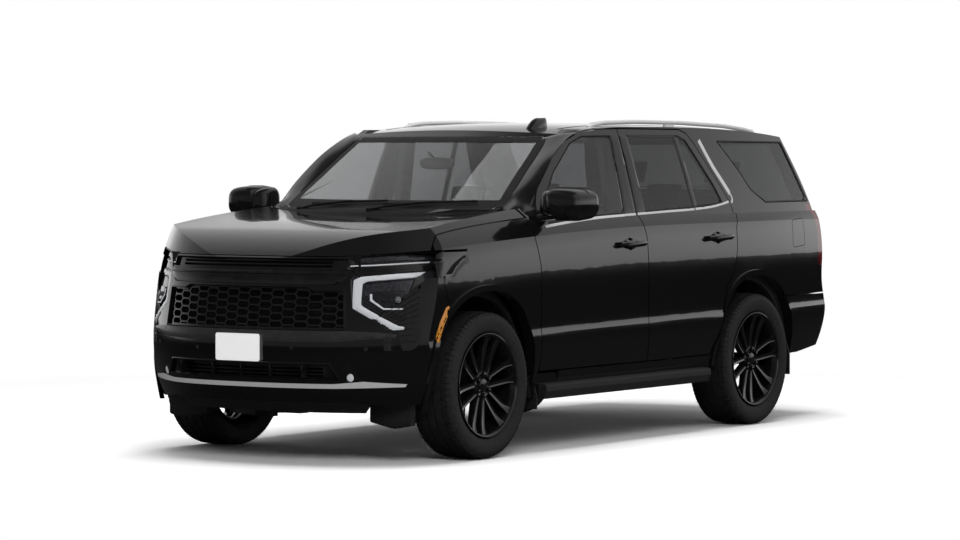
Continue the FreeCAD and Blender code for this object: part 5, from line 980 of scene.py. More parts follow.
class SUV_OT_side_trim(bpy.types.Operator):
    """Make the bright belt strip, the window posts, the side markers and the fuel flap's joint"""

    bl_idname = "suv.side_trim"
    bl_label = "Side trim"

    def execute(self, context):
        trim = context.scene.suv_trim
        side = surface("door_fl", "door_rl", "body_side_left", "fender_left", "glass_fl", "glass_rl",
                       "fixed_glass")
        wide, rise = trim.belt_width, trim.belt_rise
        belts = (
            ("belt_front", [(-1.037, 1.300), (-0.76, 1.3225), (-0.481, 1.340), (-0.2, 1.3505),
                            (-0.014, 1.3555)], "front"),
            ("belt_rear", [(0.010, 1.3565), (0.32, 1.366), (0.639, 1.374), (0.913, 1.387), (1.08, 1.405),
                           (1.158, 1.417)], "rear"),
            ("belt_corner", [(1.186, 1.408), (1.205, 1.4165), (1.2165, 1.432), (1.214, 1.450),
                             (1.196, 1.476)], "root"),
            ("post_bright", [(1.200, 1.470), (1.150, 1.5335), (1.072, 1.632), (1.018, 1.722), (0.978, 1.802)],
             "root"),
        )
        for stem, line, pair in belts:
            size = wide * (2.6 if stem == "post_bright" else 1)
            on_both(band, stem, line, size, rise, "left", side, "silver", pair=pair)
        covers = (
            ("post_b_front", [(-0.137, 1.362), (-0.014, 1.366), (0.012, 1.776), (0.0165, 1.829),
                              (-0.072, 1.829), (-0.100, 1.640)], "front"),
            ("post_b_rear", [(0.004, 1.366), (0.103, 1.368), (0.112, 1.829), (0.030, 1.829), (0.026, 1.776)],
             "rear"),
            ("post_c", [(0.745, 1.385), (0.695, 1.383), (0.667, 1.826), (0.719, 1.826)], "rear"),
        )
        for stem, outline, pair in covers:
            on_both(patch, stem, rounded(outline, 0.004), "left", side, "gloss_trim", lift=0.0035,
                    edge=0.0015, pair=pair)
        seals = (
            ("glass_seal_front", [(-0.983, 1.366), (-0.896, 1.500), (-0.790, 1.612), (-0.540, 1.780),
                                  (-0.400, 1.822), (-0.079, 1.826)], "front"),
            ("glass_seal_rear", [(0.114, 1.828), (0.719, 1.828), (0.800, 1.804), (1.012, 1.524),
                                 (1.076, 1.408)], "rear"),
            ("sill_seal_front", [(-0.980, 1.322), (-0.481, 1.3535), (-0.150, 1.364)], "front"),
            ("sill_seal_rear", [(0.105, 1.370), (0.639, 1.388), (0.913, 1.401), (1.066, 1.414)], "rear"),
        )
        for stem, line, pair in seals:
            on_both(band, stem, line, 0.011, 0.003, "left", side, "seal", smooth=False, pair=pair)
        quarter = [(1.219, 1.797), (2.150, 1.792), (2.352, 1.408), (1.680, 1.409), (1.512, 1.490),
                   (1.420, 1.600), (1.219, 1.797)]
        on_both(band, "quarter_seal", quarter, 0.010, 0.0028, "left", side, "seal", smooth=False)
        body_side = surface("body_side_left", "rear_bumper")
        flap = rounded([(1.936, 1.112), (2.130, 1.124), (2.120, 1.300), (1.944, 1.288)], 0.026)
        on_both(band, "fuel_flap_joint", flap + [flap[0]], 0.004, 0.0006, "left", body_side, "seal",
                smooth=False)
        fender = surface("fender_left", "front_bumper")
        amber = [(-2.048, 0.873), (-2.060, 0.880), (-2.081, 0.868), (-2.130, 0.790), (-2.166, 0.690),
                 (-2.160, 0.678), (-2.146, 0.680), (-2.105, 0.778)]
        on_both(patch, "side_marker", rounded(amber, 0.004), "left", fender, "amber", lift=0.004, edge=0.002,
                cell=0.012)
        return {"FINISHED"}


ARCH_POWER, ARCH_PARTS = 2.25, 60


class SUV_OT_arches(bpy.types.Operator):
    """Make the dark collars between the wheel liners and the arches' edges"""

    bl_idname = "suv.arches"
    bl_label = "Arches"

    def execute(self, context):
        arches = (("front", "fl", 0.886, 0.512, 0.488), ("rear", "rl", 0.905, 0.486, 0.556))
        for stem, place, x, ahead, behind in arches:
            axle = wheel_centre(place)
            rings = []
            for k in range(ARCH_PARTS + 1):
                turn = math.pi * k / ARCH_PARTS
                share_y = -math.copysign(abs(math.cos(turn)) ** (2 / ARCH_POWER), math.cos(turn))
                reach = (ahead if share_y < 0 else behind) + 0.016
                outer_y = axle.y + reach * share_y
                outer_z = axle.z + 0.55 * abs(math.sin(turn)) ** (2 / ARCH_POWER)
                inner_y, inner_z = axle.y - 0.5 * math.cos(turn), axle.z + 0.5 * math.sin(turn)
                rings.append([Vector((x, inner_y, inner_z)), Vector((x + 0.004, inner_y, inner_z)),
                              Vector((x + 0.004, outer_y, outer_z)), Vector((x, outer_y, outer_z))])
            on_both(loft, "arch_collar_" + stem, rings, "grained", sharp=50)
        return {"FINISHED"}


class SUV_OT_handles(bpy.types.Operator):
    """Make the door handles' grips and the cups behind them"""

    bl_idname = "suv.handles"
    bl_label = "Handles"

    def execute(self, context):
        places = (("front", "door_fl", -0.262, -0.040, 1.181), ("rear", "door_rl", 0.790, 1.014, 1.199))
        for stem, node, rear_y, front_y, z in places:
            tree = surface(node)
            long, middle = (front_y - rear_y) / 2, (front_y + rear_y) / 2
            faces = [spot(tree, "left", middle + long * k / 12, z)[0].x for k in range(-12, 13)]
            rings = []
            for k in range(33):
                share = -1 + k / 16
                y = middle + long * share
                base = max(faces[0], faces[-1]) if abs(share) < 0.7 else min(faces[0], faces[-1])
                swell = (1 - abs(share) ** 6) ** 0.5
                stand = 0.030 + 0.012 * (1 - share * share)
                height = 0.0165 * (0.6 + 0.4 * swell)
                thick = 0.0055 if abs(share) < 0.72 else 0.0055 + 0.016 * (abs(share) - 0.72) / 0.28
                middle_x = base + stand - thick
                rings.append([Vector((middle_x + p[0], y, z + 0.006 * share + p[1]))
                              for p in oval(thick, height * max(0.35, swell), 3.2, 20)])
            on_both(loft, "grip_" + stem, rings, "gloss_trim", sharp=50, pair=stem)
            cup = rounded([(middle - 0.062, z - 0.030), (middle + 0.062, z - 0.030),
                           (middle + 0.062, z + 0.030), (middle - 0.062, z + 0.030)], 0.028, 8)
            on_both(patch, "cup_" + stem, cup, "left", tree, "rim", lift=0.0015, cell=0.03, pair=stem)
            on_both(band, "cup_edge_" + stem, cup + [cup[0]], 0.004, 0.0022, "left", tree, "gloss_trim",
                    smooth=False, pair=stem)
        return {"FINISHED"}


MIRROR_Z, MIRROR_SLANT = 1.430, 0.10


class SUV_OT_mirrors(bpy.types.Operator):
    """Make the door mirrors' shells, faces, arms and seams"""

    bl_idname = "suv.mirrors"
    bl_label = "Mirrors"

    def execute(self, context):
        shape = ((-1.180, 0.040, 0.030), (-1.176, 0.084, 0.058), (-1.166, 0.116, 0.078),
                 (-1.145, 0.132, 0.089), (-1.100, 0.140, 0.094), (-1.040, 0.1415, 0.0945),
                 (-0.985, 0.140, 0.0935), (-0.962, 0.137, 0.091), (-0.955, 0.132, 0.087),
                 (-0.958, 0.124, 0.080), (-0.975, 0.121, 0.077))
        rings = []
        for y, half_x, half_z in shape:
            lean = 0.016 * (y + 1.07) / 0.115
            ahead = min(1.0, max(0.0, (-1.02 - y) / 0.10))
            ring = []
            for a, b in oval(half_x, half_z, 3.4, 48):
                inner = ahead * (a < 0)
                low = 0.35 * inner * (b < 0) * min(1.0, -a / 0.06)
                drop = 0.05 * max(0.0, a) * (1 if b > 0 else -0.6)
                ring.append(Vector((1.1265 + lean * 0.6 + a * (1 - 0.5 * inner),
                                    y + MIRROR_SLANT * (a + 0.12) * (y > -1.1),
                                    MIRROR_Z + b * (1 - low) - drop)))
            rings.append(ring)
        on_both(loft, "mirror_shell", rings, "gloss_trim", sharp=38, pair="front")
        pane = [[Vector((1.1315 + a, depth + MIRROR_SLANT * (a + 0.12), MIRROR_Z + b))
                 for a, b in oval(0.119, 0.075, 3.6, 48)]
                for depth in (-0.974, -0.969)]
        on_both(loft, "mirror_face", pane, "mirror_face", sharp=30, pair="front")
        arm = []
        for k in range(9):
            share = k / 8
            arm.append([Vector((0.955 + 0.115 * share, -1.045 + a * (1 - 0.25 * share),
                                1.352 + 0.012 * share + b))
                        for a, b in oval(0.062, 0.024 - 0.006 * share, 3.0, 28)])
        on_both(loft, "mirror_arm", arm, "gloss_trim", sharp=40, pair="front")
        seam = [Vector((1.1225 + a, -1.036 + MIRROR_SLANT * (a + 0.12), MIRROR_Z + b))
                for a, b in oval(0.1425, 0.0955, 3.4, 64)]
        on_both(tube, "mirror_seam", seam + [seam[0]], 0.0018, "seal", sides=6, pair="front")
        return {"FINISHED"}


RAIL_X = 0.670


class SUV_OT_roof(bpy.types.Operator):
    """Make the roof rails with their feet, the aerial fin and the roof's joints"""

    bl_idname = "suv.roof"
    bl_label = "Roof"

    def execute(self, context):
        roof = surface("roof_panel", "body_side_left", "body_side_right")
        rail = surface("roof_fittings")
        stations = [-0.40 + 2.58 * k / 60 for k in range(61)]
        tops = [cast(rail, "top", RAIL_X, y) for y in stations]
        ends = [(y, p.z) for y, p in zip(stations, tops) if p is not None]
        bars = []
        rings = []
        for i, (y, z) in enumerate(ends):
            share = 2 * i / (len(ends) - 1) - 1
            slim = (1 - abs(share) ** 14) ** 0.5
            skin = cast(roof, "top", RAIL_X, y)
            low = skin.z if skin is not None else z - 0.04
            top = low + (z - low) * (0.25 + 0.75 * slim)
            half = 0.0115 + 0.002 * slim
            rings.append([Vector((RAIL_X + a, y, top - half + b))
                          for a, b in oval(0.012 + 0.008 * slim, half, 2.6, 20)])
        bars.append(loft("bar", rings, "silver", sharp=50))
        for y in (ends[2][0], 0.86, ends[-3][0]):
            foot = []
            for drop, half_y in ((0.006, 0.045), (0.02, 0.055), (0.055, 0.075)):
                z = spot(rail, "top", RAIL_X, y)[0].z
                foot.append([Vector((RAIL_X + a, y + b, z - drop)) for a, b in oval(0.013, half_y, 3, 24)])
            bars.append(loft("foot", foot, "silver", sharp=50))
        for piece in both_sides(joined("roof_rail", bars), "roof_rail"):
            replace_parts(piece, "roof_fittings")
        base = spot(roof, "top", 0.47, -0.36)[0]
        fin = []
        for k in range(17):
            share = k / 16
            wide = 0.036 * (1 - 0.75 * share ** 2)
            long = 0.115 * (1 - 0.62 * share)
            z = base.z - 0.014 + 0.072 * math.sin(share * math.pi / 2)
            fin.append([Vector((base.x + a, base.y + 0.05 * share + b, z + 0.16 * b * (1 - share) ** 0.5))
                        for a, b in oval(wide, long, 2.2, 28)])
        loft("aerial_fin", fin, "gloss_trim", sharp=45)
        for side in (-1, 1):
            line = [(side * 0.625, y) for y in (-0.36, 0.2, 0.8, 1.4, 2.0)]
            band("roof_joint_" + side_name(side), line, 0.012, 0.0015, "top", roof, "seal", step=0.04)
        return {"FINISHED"}


COVER_ROWS, COVER_CELLS, COVER_ROUNDS = 30, 12, 14


def near(index, count):
    """An index with its neighbours, inside a list."""
    return range(max(index - 1, 0), min(index + 2, count))


def pillar_cover(shell):
    """A painted cover from the screen's edge to the door's front edge, over what stands between."""
    glass = surface("fixed_glass")
    heights = (1.820, 1.780, 1.700, 1.620, 1.540, 1.470, 1.430, 1.402)
    inner = [rim_place(glass, 0.95, z, -0.004, 0) + Vector((-0.004, 0, 0)) for z in heights]
    outer = [(0.806, -0.440, 1.846), (0.817, -0.570, 1.803), (0.838, -0.728, 1.722), (0.861, -0.853, 1.632),
             (0.883, -0.973, 1.532), (0.912, -1.043, 1.440), (0.944, -1.072, 1.372), (0.958, -1.082, 1.322)]
    way = Vector((0.50, -0.75, 0.30)).normalized()
    rows, count = COVER_ROWS, COVER_CELLS
    inner, outer = ([line[round(i * (len(line) - 1) / (rows - 1))] for i in range(rows)]
                    for line in (smooth_line(inner, 0.01), smooth_line(outer, 0.01)))
    lifts = []
    for a, b in zip(inner, outer):
        row = []
        for k in range(count + 1):
            here = a.lerp(b, k / count)
            hit = shell.ray_cast(here + way * 0.08, -way)[0]
            row.append(max(0.0, (hit - here).dot(way)) if hit is not None else 0.0)
        lifts.append(row)
    lifts = [[max(lifts[i][k] for i in near(r, rows) for k in near(c, count + 1)) for c in range(count + 1)]
             for r in range(rows)]
    for _ in range(COVER_ROUNDS):
        lifts = [[(4 * lifts[i][k] + lifts[max(i - 1, 0)][k] + lifts[min(i + 1, rows - 1)][k]
                   + lifts[i][max(k - 1, 0)] + lifts[i][min(k + 1, count)]) / 8 for k in range(count + 1)]
                 for i in range(rows)]
    rings = []
    for a, b, row in zip(inner, outer, lifts):
        ring = []
        for k, lift in enumerate(row):
            swell = 0.003 + 0.010 * math.sin(math.pi * k / count)
            ring.append(a.lerp(b, k / count) + way * (lift * min(1.0, k / 3) + swell))
        rings.append(ring + [b - way * 0.012, a - way * 0.004])
    return loft("pillar_cover", rings, "paint", sharp=55)


def cowl_filler(glass):
    """The dark strip that closes the gap between the bonnet's rear edge and the screen's foot."""
    hood = surface("hood")
    rings = []
    for k in range(41):
        x = -0.78 + 1.56 * k / 40
        y = -1.56
        while y < -1.1 and cast(hood, "top", x, y) is not None:
            y += 0.004
        edge = cast(hood, "top", x, y - 0.006)
        back = rim_place(glass, x, 1.36, 0, 0.003)
        rings.append([Vector((x, y + 0.004, edge.z - 0.012)), Vector((x, y + 0.010, edge.z + 0.002)),
                      back + Vector((0, -0.012, 0.004)), back + Vector((0, -0.001, 0.006)),
                      back + Vector((0, 0.004, -0.03)), Vector((x, y + 0.004, edge.z - 0.05))])
    return loft("cowl_filler", rings, "seal", sharp=50)


class SUV_OT_screen_fittings(bpy.types.Operator):
    """Make the pillars' covers, the cowl's filler, the screen's dark borders and the wipers"""

    bl_idname = "suv.screen_fittings"
    bl_label = "Screen fittings"

    def execute(self, context):
        glass = surface("fixed_glass")
        shell = surface("fixed_glass", "roof_panel", "body_side_left", "cowl_panel", "fender_left")
        both_sides(pillar_cover(shell), "pillar_cover")
        cowl_filler(glass)
        side_line = [(rim_place(glass, 0.95, z, -0.004, 0).x - 0.027, z)
                     for z in (1.412, 1.5, 1.6, 1.7, 1.78, 1.806)]
        edges = (("foot", [(-0.725, 1.426), (-0.36, 1.424), (0, 1.424), (0.36, 1.424), (0.725, 1.426)], 0.05),
                 ("side_left", side_line, 0.045), ("side_right", [(-a, b) for a, b in side_line], 0.045),
                 ("head", [(-0.655, 1.803), (-0.3, 1.804), (0, 1.804), (0.3, 1.804), (0.655, 1.803)], 0.03))
        for stem, line, width in edges:
            band("screen_border_" + stem, line, width, 0.0012, "front", glass, "seal", step=0.03, bevel=0.05)
        for stem, root_x, low_x, high_x in (("right", -0.60, -0.52, 0.06), ("left", -0.02, 0.05, 0.62)):
            foot = spot(glass, "front", root_x, 1.405)[0] + Vector((0, -0.035, -0.012))
            blade = []
            for k in range(15):
                x = low_x + (high_x - low_x) * k / 14
                place, normal = spot(glass, "front", x, 1.418 + 0.020 * k / 14)
                blade.append(place + normal * 0.012)
            arm = [foot, foot.lerp(blade[8], 0.3) + Vector((0, -0.018, 0.010)),
                   foot.lerp(blade[8], 0.7) + Vector((0, -0.014, 0.008)),
                   blade[8] + Vector((0, -0.006, 0.003))]
            parts = [tube("blade", blade, 0.0062, "seal", sides=8),
                     tube("arm", smooth_line(arm, 0.02), 0.0075, "seal", sides=10),
                     turned("pivot", [(-0.02, 0.016), (0.010, 0.016), (0.016, 0.012), (0.018, 0)], foot,
                            (0, -0.6, 1), "seal", sides=24)]
            joined("wiper_" + stem, parts)
        rear = surface("liftgate_glass", "liftgate")
        blade = [spot(rear, "rear", 0.02 + 0.42 * k / 10, 1.400 + 0.008 * k / 10)[0] + Vector((0, 0.012, 0))
                 for k in range(11)]
        pivot = spot(rear, "rear", 0.0, 1.372)[0]
        parts = [tube("blade", blade, 0.006, "seal", "tailgate", 8),
                 tube("arm", [pivot + Vector((0, 0.02, 0)), blade[5] + Vector((0, 0.008, 0))], 0.008, "seal",
                      "tailgate", 10),
                 turned("pivot", [(-0.01, 0.022), (0.022, 0.02), (0.027, 0.014), (0.028, 0)], pivot,
                        (0, 1, 0.2), "seal", "tailgate", 24)]
        joined("rear_wiper", parts, "tailgate")
        return {"FINISHED"}


class SUV_OT_rear_trim(bpy.types.Operator):
    """Make the rear lamps' guides, the bare plate, the bright strip and the reflectors"""

    bl_idname = "suv.rear_trim"
    bl_label = "Rear trim"

    def execute(self, context):
        lamp = surface("tail_lamps", "body_side_left", "liftgate", "rear_bumper")
        guide = mm_outline([(862, 1010), (880, 1016), (890, 1180), (868, 1340), (846, 1350), (866, 1180)])
        on_both(patch, "rear_lamp_guide", rounded(guide, 0.006), "rear", lamp, "red_glow", lift=0.004,
                edge=0.002)
        gate = surface("liftgate")
        strip = [(-0.50, 0.985), (0, 0.989), (0.50, 0.985)]
        band("gate_strip", strip, 0.020, 0.008, "rear", gate, "silver", "tailgate")
        plate = rounded([(-0.18, 1.010), (0.18, 1.010), (0.18, 1.150), (-0.18, 1.150)], 0.012)
        patch("rear_plate_recess", plate, "rear", gate, "gloss_trim", "tailgate", 0.002)
        blank = rounded([(-0.1525, 1.006), (0.1525, 1.006), (0.1525, 1.154), (-0.1525, 1.154)], 0.012)
        patch("rear_plate", blank, "rear", gate, "plate", "tailgate", 0.0055)
        bumper = surface("rear_bumper")
        for side in (-1, 1):
            reflector = [(side * 0.70, 0.620), (side * 0.86, 0.626)]
            band("reflector_" + side_name(side), reflector, 0.030, 0.003, "rear", bumper, "lamp_red")
        return {"FINISHED"}


class SuvTrim(bpy.types.PropertyGroup):
    """Sizes of the trim."""

    belt_width: length("Belt strip", "Width of the bright belt strip", 0.014)
    belt_rise: length("Belt rise", "How far the bright strips stand out", 0.0035)


class SuvLamps(bpy.types.PropertyGroup):
    """Sizes of the lamps."""

    cells: IntProperty(name="Cells", description="Light cells in a row of the lens block", default=4, min=1)


# Cabin: padded seats, the dashboard's screens and the inner mirror


def pad_shape(name, half_x, half_y, half_z, crown, pinch):
    """A closed cushion about the origin: crowned faces, and sides that pull in between the corners."""
    model = bmesh.new()
    bmesh.ops.create_cube(model, size=2)
    bmesh.ops.subdivide_edges(model, edges=model.edges[:], cuts=9, use_grid_fill=True)
    for v in model.verts:
        a, b, c = v.co
        round_off = 1 - 0.16 * (max(0, abs(a) - 0.6) + max(0, abs(b) - 0.6)) * abs(c)
        x = a * half_x * (1 - pinch * (1 - b * b) * abs(a) ** 3) * round_off
        y = b * half_y * (1 - pinch * (1 - a * a) * abs(b) ** 3) * round_off
        z = c * (half_z * (1 - 0.35 * (abs(a) ** 6 + abs(b) ** 6) * 0.5) + crown * (1 - a * a) * (1 - b * b))
        v.co = (x, y, z)
    mesh = bpy.data.meshes.new(name)
    model.to_mesh(mesh)
    model.free()
    return mesh


VOXEL, PRESSURE, SWELL_FRAMES = 0.006, 4, 20


def evaluated(piece):
    return bpy.data.meshes.new_from_object(piece.evaluated_get(bpy.context.evaluated_depsgraph_get()))


def swollen(mesh, cap):
    piece = linked("swelling", mesh)
    bpy.context.view_layer.objects.active = piece
    remesh = piece.modifiers.new("remesh", "REMESH")
    remesh.mode, remesh.voxel_size = "VOXEL", VOXEL
    bpy.context.view_layer.update()
    solid = evaluated(piece)
    piece.modifiers.clear()
    piece.data = solid
    before = [v.co.copy() for v in solid.vertices]
    cloth = piece.modifiers.new("cloth", "CLOTH")
    cloth.settings.use_pressure = True
    cloth.settings.uniform_pressure_force = PRESSURE
    cloth.settings.effector_weights.gravity = 0
    cloth.settings.quality = 5
    cloth.point_cache.frame_start, cloth.point_cache.frame_end = 1, SWELL_FRAMES
    for frame_number in range(1, SWELL_FRAMES + 1):
        bpy.context.scene.frame_set(frame_number)
    solid = evaluated(piece)
    piece.modifiers.clear()
    piece.data = solid
    for v, start in zip(solid.vertices, before):
        move = v.co - start
        if move.length > cap:
            v.co = start + move.normalized() * cap
    bpy.context.scene.frame_set(1)
    smooth = piece.modifiers.new("smooth", "SUBSURF")
    smooth.levels = smooth.render_levels = 0
    bpy.context.view_layer.update()
    final = evaluated(piece)
    bpy.data.objects.remove(piece)
    return final


def channels(mesh, lines, width, depth, axis=0):
    """Press sewn channels into the upper face of a cushion."""
    for v in mesh.vertices:
        if v.co.z <= 0:
            continue
        for line in lines:
            gap = abs(v.co[axis] - line)
            if gap < width:
                v.co.z -= depth * (0.5 + 0.5 * math.cos(math.pi * gap / width))
    mesh.update()


def pad(name, source, matrix, stretch=(1, 1, 1)):
    """One padded piece: a copy of a cushion set in its place."""
    mesh = source.copy()
    mesh.name = name
    mesh.transform(matrix @ Matrix.Diagonal((*stretch, 1)))
    piece = finished(name, mesh, "leather", sharp=60)
    return piece


def piping(matrix, half_x, half_y, height, stretch):
    """The sewn edge round a cushion's upper face."""
    line = [matrix @ Vector((a * stretch[0], b * stretch[1], height * stretch[2]))
            for a, b in oval(half_x, half_y, 5.0, 56)]
    return tube("piping", line + [line[0]], 0.0028, "stitch", sides=6)


SEAT_CAP, REST_CAP = 0.022, 0.014
SEAT_ROWS = (
    ("front_seats", (("left", 0.385), ("right", -0.385)), -0.130, 0.840, 1.0, 0.545),
    ("rear_seats", (("second_left", 0.459), ("second_middle", 0.0), ("second_right", -0.459)), 0.840, 0.850,
     0.459 / 0.51, 0.545),
    ("rear_seats", (("third_left", 0.2805), ("third_right", -0.2805)), 1.770, 0.990, 0.561 / 0.51, 0.770),
)


class SUV_OT_seats(bpy.types.Operator):
    """Make the padded seats, their shells and the head rests"""

    bl_idname = "suv.seats"
    bl_label = "Seats"

    def execute(self, context):
        seats = context.scene.suv_seats
        half = seats.width / 2
        grow = 0.012
        cushion = swollen(pad_shape("cushion", half - grow, seats.depth / 2 - grow, 0.054, 0.012, 0.03),
                          SEAT_CAP)
        back = swollen(pad_shape("back", half - grow, seats.height / 2 - grow, 0.048, 0.012, 0.04), SEAT_CAP)
        rest = swollen(pad_shape("rest", 0.125, 0.072, 0.036, 0.010, 0.05), REST_CAP)
        channels(cushion, (-half * 0.55, half * 0.55), 0.012, 0.010)
        channels(cushion, (-0.02, 0.10), 0.010, 0.007, 1)
        channels(back, (-half * 0.55, half * 0.55), 0.012, 0.010)
        channels(back, (-0.12, 0.02, 0.16), 0.010, 0.006, 1)
        upright = Matrix.Rotation(math.radians(90), 4, "X")
        for node, places, rear_y, top_z, wide, floor_z in SEAT_ROWS:
            for stem, x in places:
                base = Matrix.Translation((x, rear_y - seats.depth / 2 + 0.02, top_z - 0.065))
                lean = Matrix.Translation((x, rear_y, top_z - 0.065)) @ Matrix.Rotation(math.radians(-20), 4,
                                                                                        "X")
                up = lean @ Matrix.Translation((0, 0.060, seats.height / 2 + 0.03)) @ upright
                stretch = (wide, 1, 1)
                whole = [pad("seat_cushion_" + stem, cushion, base, stretch=stretch),
                         pad("seat_back_" + stem, back, up, stretch=stretch)]
                head_x = 0.0 if not stem.startswith("third") else (0.0765 if x > 0 else -0.0765)
                top = lean @ Matrix.Translation((head_x, 0.060, seats.height + 0.135)) @ upright
                whole.append(pad("seat_rest_" + stem, rest, top))
                for piece in whole:
                    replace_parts(piece, node)
                posts = [tube("post", [lean @ Vector((head_x + off, 0.060, seats.height + rise))
                                       for rise in (-0.02, 0.09)],
                              0.0065, "steel", sides=10) for off in (-0.065, 0.065)]
                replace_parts(joined("seat_posts_" + stem, posts), node)
                shell = []
                for k in range(13):
                    share = k / 12
                    z = (seats.height + 0.02) * share
                    swell = 1 - 0.12 * share ** 3
                    shell.append([lean @ Vector((a, 0.098 + 0.008 * math.sin(math.pi * share) + b, z))
                                  for a, b in oval(half * wide * swell - 0.012, 0.020, 4, 32)])
                tray_z = top_z - 0.126
                riser = []
                for z, along_half, cross in ((floor_z + 0.001, 0.135, 0.80), (floor_z + 0.02, 0.125, 0.76),
                                             ((floor_z + tray_z) / 2, 0.105, 0.72),
                                             (tray_z - 0.01, 0.15, 0.86), (tray_z + 0.012, 0.20, 0.92)):
                    riser.append([Vector((x + a, rear_y - 0.24 + b, z)) for a, b in
                                  oval(half * wide * cross, along_half, 5, 32)])
                parts = [loft("shell", shell, "cabin", sharp=40), loft("riser", riser, "cabin", sharp=40)]
                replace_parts(joined("seat_frame_" + stem, parts), node)
                edge = [piping(base, half - 0.016, seats.depth / 2 - 0.016, 0.052, stretch),
                        piping(up, half - 0.016, seats.height / 2 - 0.016, 0.046, stretch)]
                joined("seat_piping_" + stem, edge)
        return {"FINISHED"}


class SUV_OT_cabin(bpy.types.Operator):
    """Make the inner mirror and the screens on the dashboard"""

    bl_idname = "suv.cabin"
    bl_label = "Cabin"

    def execute(self, context):
        glass = surface("fixed_glass")
        dash = surface("dashboard")
        hang = spot(glass, "front", 0.0, 1.735)[0] + Vector((0, 0.02, -0.01))
        parts = [tube("stem", [hang, hang + Vector((0, 0.05, -0.03)), hang + Vector((0, 0.085, -0.055))],
                      0.009, "cabin", sides=12)]
        shell = []
        for depth, size in ((0.0, 0.72), (0.006, 0.92), (0.016, 1.0), (0.026, 0.98), (0.028, 0.94)):
            shell.append([hang + Vector((a, 0.075 + depth, -0.065 + b))
                          for a, b in oval(0.125 * size, 0.036 * size, 3, 36)])
        parts.append(loft("shell", shell, "cabin", sharp=40))
        joined("inner_mirror", parts)
        face = [[hang + Vector((a, 0.1035 + d, -0.065 + b)) for a, b in oval(0.113, 0.030, 3, 36)]
                for d in (0, 0.0015)]
        loft("inner_mirror_face", face, "mirror_face", sharp=30)
        for stem, x, wide, tall in (("gauges", -0.385, 0.27, 0.10), ("middle", 0.02, 0.36, 0.15)):
            top = spot(dash, "top", x, -0.70)[0]
            panel = []
            for depth, size in ((-0.012, 0.97), (-0.009, 1.0), (0.004, 1.0), (0.006, 0.98)):
                panel.append([Vector((x + a, top.y + 0.18 + depth - 0.25 * b, top.z - 0.01 + b)) for a, b in
                              oval(wide / 2 * size, tall / 2 * size, 7, 40)])
            loft("screen_" + stem, panel, "lens_dark", sharp=40)
        return {"FINISHED"}


class SuvSeats(bpy.types.PropertyGroup):
    """Sizes of the seats."""

    width: length("Seat width", "Width of a front seat", 0.51)
    depth: length("Seat depth", "Depth of a cushion", 0.5)
    height: length("Back height", "Height of a seat's back", 0.6)


class SuvLooks(bpy.types.PropertyGroup):
    """Colours and sizes of the finish."""

    paint_colour: FloatVectorProperty(name="Paint", description="Colour of the body paint", subtype="COLOR",
                                      default=(0.004, 0.004, 0.0045), min=0, max=1)
    trim_colour: FloatVectorProperty(name="Trim", description="Colour of the gloss trim", subtype="COLOR",
                                     default=(0.006, 0.006, 0.0065), min=0, max=1)
    silver_colour: FloatVectorProperty(name="Silver", description="Colour of rails and bright strips",
                                       subtype="COLOR", default=(0.72, 0.72, 0.73), min=0, max=1)


class SuvStage(bpy.types.PropertyGroup):
    """Camera, floor and light."""

    camera_place: FloatVectorProperty(name="Camera place", description="Where the camera stands",
                                      subtype="XYZ", unit="LENGTH", default=(12.067, -18.321, 1.748))
    camera_yaw: FloatProperty(name="Camera yaw", description="Turn of the camera about the vertical",
                              subtype="ANGLE", default=0.589)
    camera_dip: FloatProperty(name="Camera dip", description="How far the camera looks down", subtype="ANGLE",
                              default=0.034)
    lens: FloatProperty(name="Lens", description="Focal length on a 36 mm sensor, in millimetres",
                        default=133.34, min=10)
    floor_size: length("Floor", "Half the floor's side", 60.0)


# Finishes and stage

FLOOR_FADE = (3.6, 6.5)
FLOOR_GREY, FLOOR_SEEN, FLOOR_GLOSS = (0.35, 0.35, 0.35, 1), (1.6, 1.6, 1.6, 1), (0.03, 0.03, 0.03, 1)
FRONT_SHADE = (-0.55, 0.15, 0.16)
SKY_BANDS = ((0.0, 0.8), (0.08, 0.9), (0.16, 0.65), (0.3, 0.4), (0.6, 0.45), (0.78, 0.45), (0.88, 0.08),
             (1.0, 0.03))


class SUV_OT_finishes(bpy.types.Operator):
    """Make the finishes and put them on the CAD nodes"""

    bl_idname = "suv.finishes"
    bl_label = "Finishes"

    def execute(self, context):
        make_finishes(context.scene.suv_looks)
        for finish, names in NODE_FINISHES.items():
            for name in names:
                put_on(NODES[name], finish)
        return {"FINISHED"}


